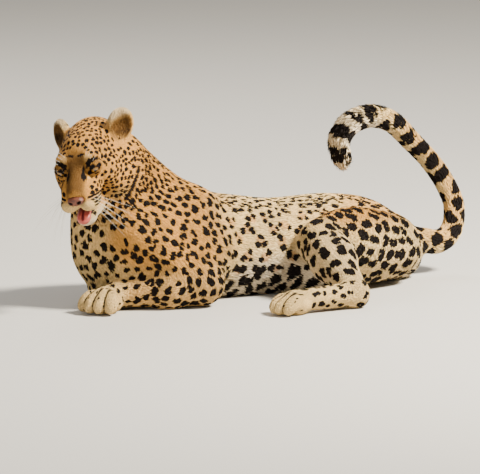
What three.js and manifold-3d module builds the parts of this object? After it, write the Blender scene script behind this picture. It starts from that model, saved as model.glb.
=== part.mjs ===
// A leopard at rest, life size, in millimetres: it lies on chest and belly with its forelegs
// forward, one hind foot out beside it, the head raised and turned, and the tail curled up.
// +X runs from head to tail, -Y is the animal's left side, +Z is up, and it rests on z = 0.
import * as THREE from "three";
import { mergeVertices } from "three/addons/utils/BufferGeometryUtils.js";
import Module from "manifold-3d";

const wasm = await Module();
wasm.setup();

// Bone lengths of a large male, and the sizes that drive the rest
const UPPER_ARM = 184;
const FOREARM = 192;
const THIGH = 244;
const SHIN = 196;
const METATARSUS = 150;
const FOREPAW_WIDTH = 100;
const HINDPAW_WIDTH = 88;
const EYE_RADIUS = 16;
const EAR_SIZE = [17, 30, 38];
const EAR_CUP = [16, 23, 31];
const GAP = 0.35;

// Facet sizes, finest where the form is
const TORSO_CELL = [44, 36, 34];
const NECK_CELL = 30;
const LEG_CELL = 29;
const TAIL_CELL = 19;
const PAW_CELL = [17, 13.5, 13];
const HEAD_CELL = 12;
const EAR_CELL = 9.5;

// Directions: ahead is towards the head, left is the animal's left
const AHEAD = [-1, 0, 0];
const LEFT = [0, -1, 0];
const UP = [0, 0, 1];
const RADIANS = Math.PI / 180;

const plus = (a, b, s = 1) => a.map((v, i) => v + s * b[i]);
const dot = (a, b) => a[0] * b[0] + a[1] * b[1] + a[2] * b[2];
const cross = (a, b) => [
  a[1] * b[2] - a[2] * b[1],
  a[2] * b[0] - a[0] * b[2],
  a[0] * b[1] - a[1] * b[0],
];
const mix = (a, b, t) => a.map((v, i) => v + t * (b[i] - v));

// A local frame: heading turns it to the left, rise lifts its nose, roll lifts its left side
function frameAt(origin, heading = 0, rise = 0, roll = 0) {
  const [h, e, r] = [heading, rise, roll].map((d) => d * RADIANS);
  const level = plus(AHEAD.map((v) => v * Math.cos(h)), LEFT, Math.sin(h));
  const f = plus(level.map((v) => v * Math.cos(e)), UP, Math.sin(e));
  const side = plus(LEFT.map((v) => v * Math.cos(h)), AHEAD, -Math.sin(h));
  const top = cross(f, side);
  const l = plus(side.map((v) => v * Math.cos(r)), top, Math.sin(r));
  const u = cross(f, l);
  const at = (a, b, c) => plus(plus(plus(origin, f, a), l, b), u, c);
  return { origin, f, l, u, at };
}

// The point that a bone of a given length reaches
const reach = (from, length, heading, rise) => frameAt(from, heading, rise).at(length, 0, 0);

// Shapes as signed distances: a tapered bone of flesh, and an egg turned as its frame is
function bone(a, b, ra, rb, k) {
  const d = plus(b, a, -1);
  const size = dot(d, d);
  const distance = (x, y, z) => {
    const [px, py, pz] = [x - a[0], y - a[1], z - a[2]];
    const t = Math.min(1, Math.max(0, (px * d[0] + py * d[1] + pz * d[2]) / size));
    const [qx, qy, qz] = [px - t * d[0], py - t * d[1], pz - t * d[2]];
    return Math.sqrt(qx * qx + qy * qy + qz * qz) - ra - t * (rb - ra);
  };
  return { distance, k };
}

function egg(frame, centre, radii, k, turn = [0, 0, 0]) {
  const o = frame.at(...centre);
  const local = frameAt([0, 0, 0], ...turn);
  const along = (v) => plus(plus(frame.f.map((c) => -c * v[0]), frame.l, -v[1]), frame.u, v[2]);
  const [f, l, u] = [along(local.f), along(local.l), along(local.u)];
  const [rf, rl, ru] = radii;
  const distance = (x, y, z) => {
    const [px, py, pz] = [x - o[0], y - o[1], z - o[2]];
    const a = (px * f[0] + py * f[1] + pz * f[2]) / rf;
    const b = (px * l[0] + py * l[1] + pz * l[2]) / rl;
    const c = (px * u[0] + py * u[1] + pz * u[2]) / ru;
    const k0 = Math.sqrt(a * a + b * b + c * c);
    const k1 = Math.sqrt((a * a) / rf ** 2 + (b * b) / rl ** 2 + (c * c) / ru ** 2);
    return k1 < 1e-9 ? -Math.min(rf, rl, ru) : (k0 * (k0 - 1)) / k1;
  };
  return { distance, k };
}

// Two distances joined with a fillet about k wide, and one cut from another the same way
function join(a, b, k) {
  const h = Math.max(0, 1 - Math.abs(a - b) / k);
  return Math.min(a, b) - (h * h * k) / 4;
}
const carve = (a, b, k) => -join(-a, b, k);

function flesh(pieces) {
  const [first, ...rest] = pieces;
  return (x, y, z) => {
    let d = first.distance(x, y, z);
    for (const piece of rest) d = join(d, piece.distance(x, y, z), piece.k);
    return d;
  };
}

// Trunk: a deep chest, the barrel of the ribs, a soft belly on the floor and sloping hips
const BODY = frameAt([0, 0, 0]);
const at = (x, y, z) => [-x, -y, z];
const trunk = flesh([
  egg(BODY, at(-390, 2, 130), [148, 118, 134], 50),
  egg(BODY, at(-225, 0, 112), [170, 122, 120], 50),
  egg(BODY, at(-70, 0, 96), [185, 124, 112], 50),
  egg(BODY, at(70, 0, 86), [165, 120, 106], 50),
  egg(BODY, at(105, 0, 108), [140, 96, 88], 50),
  egg(BODY, at(200, 0, 86), [108, 94, 84], 50, [0, 20, 0]),
  egg(BODY, at(268, 0, 60), [66, 66, 54], 50, [0, 34, 0]),
]);

// Neck: the nape from the withers, and the full throat over the chest
const neck = flesh([
  bone([-300, 0, 164], [-462, -8, 310], 86, 82, 50),
  bone([-427, 4, 138], [-495, -14, 294], 107, 83, 50),
]);

// Limbs, for the left (side -1 in y) and the right
function foreleg(side, shoulder, armHeading, armRise, foreHeading, foreRise, paw) {
  const elbow = reach(shoulder, UPPER_ARM, armHeading, armRise);
  const wrist = reach(elbow, FOREARM, foreHeading, foreRise);
  const withers = [-282, side * 58, 202];
  const upper = flesh([
    bone(withers, shoulder, 52, 52, 40),
    bone(shoulder, elbow, 54, 48, 40),
    egg(BODY, at(-322, side * 116, 110), [96, 44, 78], 46),
  ]);
  const lower = flesh([
    bone(elbow, mix(elbow, wrist, 0.4), 47, 46, 20),
    bone(mix(elbow, wrist, 0.4), wrist, 46, 31, 26),
  ]);
  return { shoulder, elbow, wrist, upper, lower, paw: footOf(wrist, paw) };
}

// A foot: its back end, a pad under the knuckles and four toes in a fan
function footOf(from, { heading, length, width, height, spread }) {
  const f = frameAt([from[0], from[1], 0], heading);
  const toe = width * 0.195;
  const back = height * 0.46;
  const parts = [
    bone([from[0], from[1], from[2]], f.at(length, 0, back + 4), 29, back, 22),
    egg(f, [length - 4, 0, back * 0.86], [34, width * 0.42, back], 16),
  ];
  const toes = [-1.5, -0.5, 0.5, 1.5];
  for (const i of toes) {
    const reachOut = length + 44 - 7 * Math.abs(i) ** 1.6;
    const side = (i * (width - 2 * toe)) / 3;
    const knuckle = f.at(length + 8, side * 0.86, height * 0.62);
    const tip = f.at(reachOut, side * spread, toe * 0.92);
    parts.push(bone(knuckle, tip, toe * 1.02, toe, 7));
  }
  return { field: flesh(parts), tip: f.at(length + 36, 0, 20) };
}

const LEFT_FORE = foreleg(-1, [-446, -92, 166], 158, -38, -18, -5, {
  heading: 27, length: 58, width: FOREPAW_WIDTH, height: 60, spread: 1.16,
});
const RIGHT_FORE = foreleg(1, [-404, 96, 156], 193, -36, 16, -2, {
  heading: 72, length: 56, width: FOREPAW_WIDTH, height: 60, spread: 1,
});

function hindleg(side, hip, thigh, shin, foot) {
  const knee = reach(hip, THIGH, ...thigh);
  const hock = reach(knee, SHIN, ...shin);
  const mid = mix(hip, knee, 0.5);
  const upper = flesh([
    bone(hip, knee, 76, 46, 40),
    egg(frameAt(mid, thigh[0] * 0.4, thigh[1]), [0, 0, -4], [140, 56, 88], 40),
  ]);
  const calf = mix(knee, hock, 0.34);
  const lower = flesh([
    bone(knee, calf, 50, 50, 24),
    bone(calf, hock, 50, 29, 28),
    bone(hock, [hock[0] + 4, hock[1], 24], 27, 24, 14),
  ]);
  return { hip, knee, hock, upper, lower, paw: footOf([hock[0], hock[1], 32], foot) };
}

const LEFT_HIND = hindleg(-1, [215, -70, 86], [21, 9], [86, -27], {
  heading: 3, length: METATARSUS + 18, width: HINDPAW_WIDTH, height: 54, spread: 1.04,
});
const RIGHT_HIND = hindleg(1, [215, 64, 82], [-24, 7], [194, -27], {
  heading: -4, length: METATARSUS + 18, width: HINDPAW_WIDTH, height: 54, spread: 1.04,
});

// Tail: out behind the rump, up, over and forward, swinging a little to the right
const TAIL_LINE = new THREE.CatmullRomCurve3(
  [
    [300, 0, 80], [345, 0, 78], [388, 3, 72], [424, 8, 92], [438, 16, 144], [422, 26, 196],
    [386, 36, 252], [340, 46, 302], [294, 52, 346], [240, 54, 362], [188, 52, 350], [158, 48, 316],
    [160, 44, 276],
  ].map((p) => new THREE.Vector3(...p)),
);
const TAIL_STEPS = 28;
const tailRadius = (t) => 22 + 12 * Math.exp(-6 * t) + 3 * t ** 2 - 6 * t ** 16;
const tailPoint = (t) => TAIL_LINE.getPointAt(t).toArray();
const tail = flesh(
  [...Array(TAIL_STEPS).keys()].map((i) => {
    const [a, b] = [i / TAIL_STEPS, (i + 1) / TAIL_STEPS];
    return bone(tailPoint(a), tailPoint(b), tailRadius(a), tailRadius(b), 3);
  }),
);

// Head, in its own frame: forward, left and up from the middle of the braincase
const HEAD = frameAt([-540, -45, 340], 45, -18, 10);
const HEAD_SIZE = 1.12;
const headEgg = (centre, radii, k, turn) =>
  egg(HEAD, centre.map((v) => v * HEAD_SIZE), radii.map((v) => v * HEAD_SIZE), k, turn);
const headPoint = (...p) => HEAD.at(...p.map((v) => v * HEAD_SIZE));
const headBone = (a, b, ra, rb, k) =>
  bone(headPoint(...a), headPoint(...b), ra * HEAD_SIZE, rb * HEAD_SIZE, k);
const both = (make) => [make(1), make(-1)];
const skull = flesh([
  headEgg([-22, 0, 6], [84, 62, 66], 30),
  headEgg([34, 0, 20], [50, 48, 46], 30),
  ...both((s) => headEgg([5, s * 41, -24], [58, 34, 47], 26)),
  ...both((s) => headEgg([44, s * 42, -4], [34, 20, 24], 20)),
  ...both((s) => headEgg([68, s * 28, 36], [22, 20, 13], 14)),
  headBone([56, 0, 14], [127, 0, -16], 33, 23, 22),
  ...both((s) => headEgg([117, s * 20, -38], [32, 22, 19], 12)),
  headBone([16, 0, -56], [100, 0, -74], 42, 20, 18),
  headEgg([111, 0, -79], [21, 19, 14], 12),
  ...both((s) => headEgg([-34, s * 45, -42], [54, 37, 56], 34)),
]);
const EYE = (s) => [80, s * 34, 18];
const socket = flesh(both((s) => headEgg([92, s * 38, 18], [17, 15, 11], 1)));
const head = (x, y, z) => carve(skull(x, y, z), socket(x, y, z), 10);

// The whole skin: limbs meet the trunk in folds, and the head flows into the neck
function whole(x, y, z) {
  let d = join(trunk(x, y, z), neck(x, y, z), 60);
  for (const leg of [LEFT_FORE, RIGHT_FORE]) d = join(d, leg.upper(x, y, z), 44);
  for (const leg of [LEFT_HIND, RIGHT_HIND]) d = join(d, leg.upper(x, y, z), 22);
  d = join(d, tail(x, y, z), 30);
  d = join(d, head(x, y, z), 30);
  for (const leg of [LEFT_FORE, RIGHT_FORE, LEFT_HIND, RIGHT_HIND]) {
    const limb = join(leg.lower(x, y, z), leg.paw.field(x, y, z), 14);
    d = join(d, limb, 18);
  }
  return d;
}

const STEPS = [[1, 0, 0], [0, 1, 0], [0, 0, 1]];

// A closed net of triangles on a field's zero surface, with cells of one size
function netOf(field, low, high, size) {
  const cell = Array.isArray(size) ? size : [size, size, size];
  const least = Math.min(...cell);
  const n = low.map((v, a) => Math.ceil((high[a] - v) / cell[a]) + 1);
  const index = (i, j, k) => (k * n[1] + j) * n[0] + i;
  const place = (...at) => at.map((v, a) => low[a] + v * cell[a]);
  const value = new Float32Array(n[0] * n[1] * n[2]);
  for (let k = 0; k < n[2]; k++)
    for (let j = 0; j < n[1]; j++)
      for (let i = 0; i < n[0]; i++) {
        const edge = [i, j, k].some((v, a) => v === 0 || v === n[a] - 1);
        const d = field(...place(i, j, k));
        value[index(i, j, k)] = edge ? Math.max(d, 0.4 * least) : d;
      }
  fillDiagonals(value, n, index, -0.05 * least);
  const points = [];
  const cellPoint = new Map();
  const corners = [...Array(8).keys()].map((c) => [c & 1, (c >> 1) & 1, c >> 2]);
  const edges = [];
  for (let c = 0; c < 8; c++)
    for (const bit of [1, 2, 4]) if (!(c & bit)) edges.push([c, c | bit]);
  for (let k = 0; k < n[2] - 1; k++)
    for (let j = 0; j < n[1] - 1; j++)
      for (let i = 0; i < n[0] - 1; i++) {
        const v = corners.map(([a, b, c]) => value[index(i + a, j + b, k + c)]);
        const sum = [0, 0, 0];
        let hits = 0;
        for (const [a, b] of edges) {
          if (v[a] < 0 === v[b] < 0) continue;
          const p = mix(corners[a], corners[b], v[a] / (v[a] - v[b]));
          p.forEach((c, axis) => (sum[axis] += c));
          hits++;
        }
        if (!hits) continue;
        cellPoint.set(index(i, j, k), points.length);
        const start = place(...[i, j, k].map((c, axis) => c + sum[axis] / hits));
        points.push(settled(field, start, least));
      }
  const faces = [];
  for (let k = 0; k < n[2] - 1; k++)
    for (let j = 0; j < n[1] - 1; j++)
      for (let i = 0; i < n[0] - 1; i++)
        STEPS.forEach((step, axis) => {
          const a = value[index(i, j, k)];
          const b = value[index(i + step[0], j + step[1], k + step[2])];
          if (a < 0 === b < 0) return;
          const s = STEPS[(axis + 1) % 3];
          const t = STEPS[(axis + 2) % 3];
          const cellAt = (p, q) =>
            cellPoint.get(
              index(i - p * s[0] - q * t[0], j - p * s[1] - q * t[1], k - p * s[2] - q * t[2]),
            );
          const quad = [cellAt(1, 1), cellAt(0, 1), cellAt(0, 0), cellAt(1, 0)];
          if (a >= 0) quad.reverse();
          const [p, q, r, w] = quad.map((c) => points[c]);
          const short = Math.hypot(...plus(p, r, -1)) < Math.hypot(...plus(q, w, -1));
          faces.push(...(short ? [0, 1, 2, 0, 2, 3] : [1, 2, 3, 1, 3, 0]).map((c) => quad[c]));
        });
  return solidFrom(points.flat(), faces);
}

// Grid points that touch only across a corner are joined, so that the net has no pinched edge
function fillDiagonals(value, n, index, inside) {
  const diagonals = [
    { from: [0, 0, 0], step: [1, 1, 1] },
    { from: [1, 0, 0], step: [-1, 1, 1] },
    { from: [0, 1, 0], step: [1, -1, 1] },
    { from: [0, 0, 1], step: [1, 1, -1] },
  ];
  let changed = true;
  const set = (at) => {
    value[at] = inside;
    changed = true;
  };
  while (changed) {
    changed = false;
    for (let k = 1; k < n[2] - 2; k++)
      for (let j = 1; j < n[1] - 2; j++)
        for (let i = 1; i < n[0] - 2; i++) {
          const at = (v) => index(i + v[0], j + v[1], k + v[2]);
          for (let axis = 0; axis < 3; axis++) {
            const [s, t] = [STEPS[axis], STEPS[(axis + 1) % 3]];
            const [a, b, c, d] = [at([0, 0, 0]), at(s), at(t), at(plus(s, t))];
            const low = [a, b, c, d].map((q) => value[q] < 0);
            if (low[0] === low[3] && low[1] === low[2] && low[0] !== low[1]) {
              const [p, q] = low[0] ? [b, c] : [a, d];
              set(value[p] < value[q] ? p : q);
            }
          }
          for (const { from, step } of diagonals) {
            const a = at(from);
            const b = at(plus(from, step));
            if (value[a] >= 0 || value[b] >= 0) continue;
            const others = STEPS.flatMap((s) => [
              at(plus(from, s, dot(s, step))),
              at(plus(plus(from, step), s, -dot(s, step))),
            ]);
            if (others.every((q) => value[q] >= 0)) set(others[0]);
          }
        }
  }
}

// A point of the net moved on to the surface along the field's slope, within its own cell
function settled(field, start, cell) {
  let p = start;
  for (let round = 0; round < 3; round++) {
    const d = field(...p);
    const e = 0.5;
    const slope = [0, 1, 2].map((axis) => {
      const q = [...p];
      q[axis] += e;
      return (field(...q) - d) / e;
    });
    const steep = Math.max(0.2, dot(slope, slope));
    const next = plus(p, slope, -d / steep);
    if (Math.hypot(...plus(next, start, -1)) > 0.45 * cell) break;
    p = next;
  }
  return p;
}

function solidFrom(positions, triangles) {
  return new wasm.Manifold(
    new wasm.Mesh({
      numProp: 3,
      vertProperties: new Float32Array(positions),
      triVerts: new Uint32Array(triangles),
    }),
  );
}

function geometryOf(solid) {
  const m = solid.getMesh();
  const position = new Float32Array(m.numVert * 3);
  for (let i = 0; i < m.numVert; i++)
    for (let a = 0; a < 3; a++) position[3 * i + a] = m.vertProperties[m.numProp * i + a];
  return new THREE.BufferGeometry()
    .setAttribute("position", new THREE.BufferAttribute(position, 3))
    .setIndex(new THREE.BufferAttribute(new Uint32Array(m.triVerts), 1));
}

// The same solid a little larger, each point moved out along its normal
function grown(solid, by) {
  const g = geometryOf(solid);
  g.computeVertexNormals();
  const p = g.attributes.position.array;
  const normal = g.attributes.normal.array;
  return solidFrom(p.map((v, i) => v + by * normal[i]), g.index.array);
}

const largest = (solid) =>
  solid.decompose().reduce((a, b) => (b.volume() > a.volume() ? b : a));
const opposite = (v) => v.map((c) => -c);
// What lies on the side of a plane that its normal points to, half a gap clear of it
const beyond = (solid, normal, point) => solid.trimByPlane(normal, dot(normal, point) + GAP / 2);
const onFloor = (solid) => largest(solid.trimByPlane(UP, 0));

// A three.js shape, scaled and set in the head's frame, as a solid
function headSolid(geometry, centre, scale, turn = [0, 0, 0]) {
  const local = frameAt([0, 0, 0], ...turn);
  const along = (v) => plus(plus(HEAD.f.map((c) => -c * v[0]), HEAD.l, -v[1]), HEAD.u, v[2]);
  const basis = new THREE.Matrix4().makeBasis(
    ...[local.f, local.l, local.u].map((v) => new THREE.Vector3(...along(v))),
  );
  const shape = geometry.clone();
  shape.deleteAttribute("normal");
  shape.deleteAttribute("uv");
  const merged = mergeVertices(shape, 1e-4);
  merged.scale(...scale);
  merged.applyMatrix4(basis);
  merged.translate(...headPoint(...centre));
  return solidFrom(merged.attributes.position.array, merged.index.array);
}
const ball = (centre, scale, turn, sides = 10) =>
  headSolid(new THREE.SphereGeometry(1, sides, sides * 0.75), centre, scale, turn);

// Limbs: a region round each leg and paw marks where its flesh ends and the next begins
const LEG_REGION = 12;
const LEG_REGION_CELL = 46;
const LEG_REACH = 112;
const PAW_REGION = 5;
const PAW_REGION_CELL = 26;
const PAW_REACH = 84;
const BELOW_FLOOR = -42;
const NECK_CUT = { point: [-400, 0, 256], normal: [-0.42, 0, 0.91] };
const MIDLINE_WEB = 32;
const solids = {};
const limbRooms = [];

function boxOf(points, margin) {
  const low = [0, 1, 2].map((a) => Math.min(...points.map((p) => p[a])) - margin);
  const high = [0, 1, 2].map((a) => Math.max(...points.map((p) => p[a])) + margin);
  low[2] = Math.max(low[2], BELOW_FLOOR);
  return [low, high];
}

function limb(name, leg, side, legPoints) {
  const legBox = boxOf(legPoints, LEG_REACH);
  const pawBox = boxOf([legPoints.at(-1), leg.paw.tip], PAW_REACH);
  const legField = (x, y, z) => join(leg.upper(x, y, z), leg.lower(x, y, z), 18) - LEG_REGION;
  const pawField = (x, y, z) => leg.paw.field(x, y, z) - PAW_REGION;
  const paw = netOf(pawField, ...pawBox, PAW_REGION_CELL);
  let region = netOf(legField, ...legBox, LEG_REGION_CELL);
  const web = region.trimByPlane([0, side, 0], MIDLINE_WEB);
  region = beyond(web, opposite(NECK_CUT.normal), NECK_CUT.point);
  const pawRoom = grown(paw, GAP);
  const flank = netOf(whole, ...legBox, LEG_CELL);
  solids[name] = onFloor(flank.intersect(region).subtract(pawRoom));
  solids[name.replace("leg", "paw")] = onFloor(netOf(whole, ...pawBox, PAW_CELL).intersect(paw));
  limbRooms.push(grown(region, GAP), pawRoom);
}

const sides = [["left", -1], ["right", 1]];
for (const [word, side] of sides) {
  const fore = side < 0 ? LEFT_FORE : RIGHT_FORE;
  const hind = side < 0 ? LEFT_HIND : RIGHT_HIND;
  const withers = [-290, side * 70, 188];
  limb(`foreleg_${word}`, fore, side, [withers, fore.shoulder, fore.elbow, fore.wrist]);
  limb(`hindleg_${word}`, hind, side, [hind.hip, hind.knee, hind.hock]);
}

// Tail: four lengths, parted square to its line
const TAIL_CUTS = [0.075, 0.3, 0.54, 0.79];
const TAIL_NAMES = ["tail_root", "tail_rise", "tail_bend", "tail_tip"];
const tailPlane = (t) => ({ point: tailPoint(t), normal: TAIL_LINE.getTangentAt(t).toArray() });
TAIL_NAMES.forEach((name, i) => {
  const [from, to] = [TAIL_CUTS[i], TAIL_CUTS[i + 1] ?? 1];
  const stretch = [...Array(7).keys()].map((j) => tailPoint(from + ((to - from) * j) / 6));
  let length = netOf(whole, ...boxOf(stretch, 44), TAIL_CELL);
  const start = tailPlane(from);
  length = beyond(length, start.normal, start.point);
  if (to < 1) length = beyond(length, opposite(tailPlane(to).normal), tailPlane(to).point);
  solids[name] = onFloor(length);
});

// Torso and neck
let torso = netOf(whole, [-620, -260, BELOW_FLOOR], [420, 260, 368], TORSO_CELL);
torso = beyond(torso, opposite(NECK_CUT.normal), NECK_CUT.point);
const tailStart = tailPlane(TAIL_CUTS[0]);
torso = beyond(torso, opposite(tailStart.normal), tailStart.point);
for (const room of limbRooms) torso = torso.subtract(room);
solids.torso = onFloor(torso);

const HEAD_CUT = {
  point: headPoint(-52, 0, -20),
  normal: plus(HEAD.f.map((v) => v * 0.66), HEAD.u, 0.75),
};
let throat = netOf(whole, [-700, -240, 108], [-220, 240, 458], NECK_CELL);
throat = beyond(throat, NECK_CUT.normal, NECK_CUT.point);
solids.neck = onFloor(beyond(throat, opposite(HEAD_CUT.normal), HEAD_CUT.point));

// Head: lids over the eyes, the open mouth with the tongue in it, and the nose pad
const LID = 3.2;
const SLIT_TURN = 26;
let face = netOf(whole, ...boxOf([headPoint(40, 0, -10)], 190), HEAD_CELL);
face = beyond(face, HEAD_CUT.normal, HEAD_CUT.point);
face = beyond(face, NECK_CUT.normal, NECK_CUT.point);
const round = (r) => [r, r, r];
for (const [word, s] of [["left", 1], ["right", -1]]) {
  const centre = EYE(s);
  face = face.add(ball(centre, round(EYE_RADIUS + LID)));
  face = face.subtract(ball(centre, round(EYE_RADIUS + GAP)));
  face = face.subtract(ball([94, s * 38, 17], [15, 17, 4.2], [s * 14, 0, s * SLIT_TURN], 8));
  solids[`eye_${word}`] = ball(centre, round(EYE_RADIUS));
}
face = face.subtract(ball([122, 0, -59], [56, 47, 7], [0, -7, 0], 12));
const nosePad = ball([145, 0, -22], [13, 20, 13], [0, 20, 0], 10);
const tongue = ball([116, 0, -64], [30, 15, 7], [0, -20, 0], 12);
solids.nose = nosePad;
for (const s of [1, -1])
  solids.nose = solids.nose.subtract(ball([157, s * 9, -26], [9, 4.4, 3.4], [s * 20, 0, s * 30], 8));
solids.tongue = tongue;
solids.head = largest(
  face.subtract(grown(nosePad, GAP)).subtract(grown(tongue, GAP)),
);

// Ears: rounded cups set on the corners of the crown, the right one laid further back
const EARS = [
  { name: "ear_left", side: 1, centre: [-33, 66, 50], turn: [38, 2, -26] },
  { name: "ear_right", side: -1, centre: [-42, -61, 37], turn: [-52, 14, 44] },
];
for (const { name, side, centre, turn } of EARS) {
  const shell = headEgg(centre, EAR_SIZE, 4, turn);
  const hollow = plus(centre, [13, side * 10, 5]);
  const cup = headEgg(hollow, EAR_CUP, 4, turn);
  const ear = (x, y, z) => carve(shell.distance(x, y, z), cup.distance(x, y, z), 4);
  const net = netOf(ear, ...boxOf([headPoint(...centre)], 62), EAR_CELL);
  solids[name] = largest(
    net.subtract(grown(solids.head, GAP)).subtract(grown(solids.neck, GAP)),
  );
}

// The model: each solid a named mesh, the whole set with its base's middle on the origin
const COATS = {
  golden: { color: 0xd9a860, roughness: 0.85 },
  buff: { color: 0xe3cda2, roughness: 0.85 },
  nose: { color: 0x9a6a58, roughness: 0.5 },
  tongue: { color: 0xc9757a, roughness: 0.4 },
  eye: { color: 0xb98a2e, roughness: 0.15 },
};
const coatOf = (name) => {
  if (name in COATS) return name;
  if (name.startsWith("eye")) return "eye";
  return name.includes("paw") ? "buff" : "golden";
};
const leopard = new THREE.Group();
const extent = new THREE.Box3();
for (const [name, solid] of Object.entries(solids)) {
  const material = new THREE.MeshStandardMaterial({ ...COATS[coatOf(name)], metalness: 0 });
  const mesh = new THREE.Mesh(geometryOf(solid), material);
  mesh.name = name;
  leopard.add(mesh);
  extent.expandByObject(mesh);
}
const middle = extent.getCenter(new THREE.Vector3());
leopard.position.set(-middle.x, -middle.y, -extent.min.z);

export default leopard;
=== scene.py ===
import math

import bpy
import numpy as np
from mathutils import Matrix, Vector
from mathutils.kdtree import KDTree


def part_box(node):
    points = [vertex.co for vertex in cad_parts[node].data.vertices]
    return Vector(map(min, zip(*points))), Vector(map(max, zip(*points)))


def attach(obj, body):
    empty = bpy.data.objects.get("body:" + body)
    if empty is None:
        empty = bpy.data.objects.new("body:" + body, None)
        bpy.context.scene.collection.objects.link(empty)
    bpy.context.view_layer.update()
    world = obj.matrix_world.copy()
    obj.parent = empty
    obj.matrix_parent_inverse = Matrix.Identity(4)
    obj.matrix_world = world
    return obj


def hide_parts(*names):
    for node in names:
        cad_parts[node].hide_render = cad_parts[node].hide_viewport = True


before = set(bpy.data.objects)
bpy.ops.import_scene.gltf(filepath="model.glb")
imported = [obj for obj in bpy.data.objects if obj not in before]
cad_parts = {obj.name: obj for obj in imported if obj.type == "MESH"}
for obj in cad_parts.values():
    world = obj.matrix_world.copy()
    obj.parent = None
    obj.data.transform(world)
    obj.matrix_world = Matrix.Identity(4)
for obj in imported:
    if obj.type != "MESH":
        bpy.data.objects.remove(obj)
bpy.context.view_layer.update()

# A leopard at rest. Lengths are in millimetres in the animal's own frame: x runs from head to
# tail, -y is its left side and z is up from the floor. make_piece turns them into metres.
MM = 0.001
rng = np.random.default_rng(5)
bpy.ops.object.select_all(action="DESELECT")


# ---- Shapes as distances, over arrays of points ----
AHEAD = np.array([-1.0, 0.0, 0.0])
LEFT = np.array([0.0, -1.0, 0.0])
UP = np.array([0.0, 0.0, 1.0])


class Place:
    """A local frame: heading turns it to the left, rise lifts its nose, roll its left side."""

    def __init__(self, origin, heading=0, rise=0, roll=0):
        h, e, r = np.radians([heading, rise, roll])
        self.origin = np.asarray(origin, float)
        level = AHEAD * math.cos(h) + LEFT * math.sin(h)
        self.f = level * math.cos(e) + UP * math.sin(e)
        side = LEFT * math.cos(h) - AHEAD * math.sin(h)
        top = np.cross(self.f, side)
        self.l = side * math.cos(r) + top * math.sin(r)
        self.u = np.cross(self.f, self.l)

    def at(self, *p):
        return self.origin + self.f * p[0] + self.l * p[1] + self.u * p[2]

    def local(self, points):
        return (points - self.origin) @ np.stack([self.f, self.l, self.u], 1)

    def turned(self, heading, rise, roll):
        inner = Place((0, 0, 0), heading, rise, roll)
        out = Place(self.origin)
        out.f, out.l, out.u = (
            -self.f * v[0] - self.l * v[1] + self.u * v[2] for v in (inner.f, inner.l, inner.u)
        )
        return out


def bone(a, b, ra, rb, k=0.0):
    """A rod from a to b that tapers from radius ra to rb, and how far it blends with others."""
    a, b = np.asarray(a, np.float32), np.asarray(b, np.float32)
    d = b - a
    size = float(d @ d)

    def distance(p):
        q = p - a
        t = np.clip(q @ d / size, 0, 1)
        q -= t[:, None] * d
        return np.sqrt(np.einsum("ij,ij->i", q, q)) - (ra + t * (rb - ra))

    return distance, k


def egg(place, centre, radii, k=0.0, turn=(0, 0, 0)):
    """An ellipsoid in a place's frame, and how far it blends with others."""
    o = place.at(*centre).astype(np.float32)
    inner = place.turned(*turn)
    axes = np.stack([inner.f, inner.l, inner.u], 1).astype(np.float32)
    r = np.asarray(radii, np.float32)

    def distance(p):
        q = (p - o) @ axes / r
        k0 = np.sqrt(np.einsum("ij,ij->i", q, q))
        q /= r
        k1 = np.maximum(np.sqrt(np.einsum("ij,ij->i", q, q)), 1e-6)
        return k0 * (k0 - 1) / k1

    return distance, k


def join(a, b, k):
    h = np.maximum(0, 1 - np.abs(a - b) / k)
    return np.minimum(a, b) - h * h * k / 4


def carve(a, b, k):
    return -join(-a, b, k)


def flesh(*pieces):
    def distance(p):
        d = pieces[0][0](p)
        for piece, k in pieces[1:]:
            d = join(d, piece(p), k)
        return d

    return distance


def reach(start, length, heading, rise):
    return Place(start, heading, rise).at(length, 0, 0)


def mix(a, b, t):
    return np.asarray(a, float) * (1 - t) + np.asarray(b, float) * t


def unit(v):
    return v / np.maximum(np.linalg.norm(v, axis=-1, keepdims=True), 1e-9)


def ramp(x, low, high):
    t = np.clip((x - low) / (high - low), 0, 1)
    return t * t * (3 - 2 * t)


# ---- The body, from the same sizes as the solids ----
UPPER_ARM = 184
FOREARM = 192
THIGH = 244
SHIN = 196
METATARSUS = 150
FOREPAW_WIDTH = 100
HINDPAW_WIDTH = 88
EYE_RADIUS = 16
TOE_WIDTH = 0.18  # half a toe's breadth, as a share of its foot's
TOE_ROWS = (-1.5, -0.5, 0.5, 1.5)
TRUNK_BLEND = 50

BODY = Place((0, 0, 0))


def lump(x, y, z, *radii, rise=0):
    return egg(BODY, (-x, -y, z), radii, TRUNK_BLEND, (0, rise, 0))


trunk = flesh(
    lump(-390, 2, 130, 148, 118, 134),
    lump(-225, 0, 112, 170, 122, 120),
    lump(-70, 0, 96, 185, 124, 112),
    lump(70, 0, 86, 165, 120, 106),
    lump(105, 0, 108, 140, 96, 88),
    lump(200, 0, 86, 108, 94, 84, rise=20),
    lump(268, 0, 60, 66, 66, 54, rise=34),
)
neck = flesh(
    bone((-300, 0, 164), (-462, -8, 310), 86, 82, 50),
    bone((-427, 4, 138), (-495, -14, 294), 107, 83, 50),
)


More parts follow.
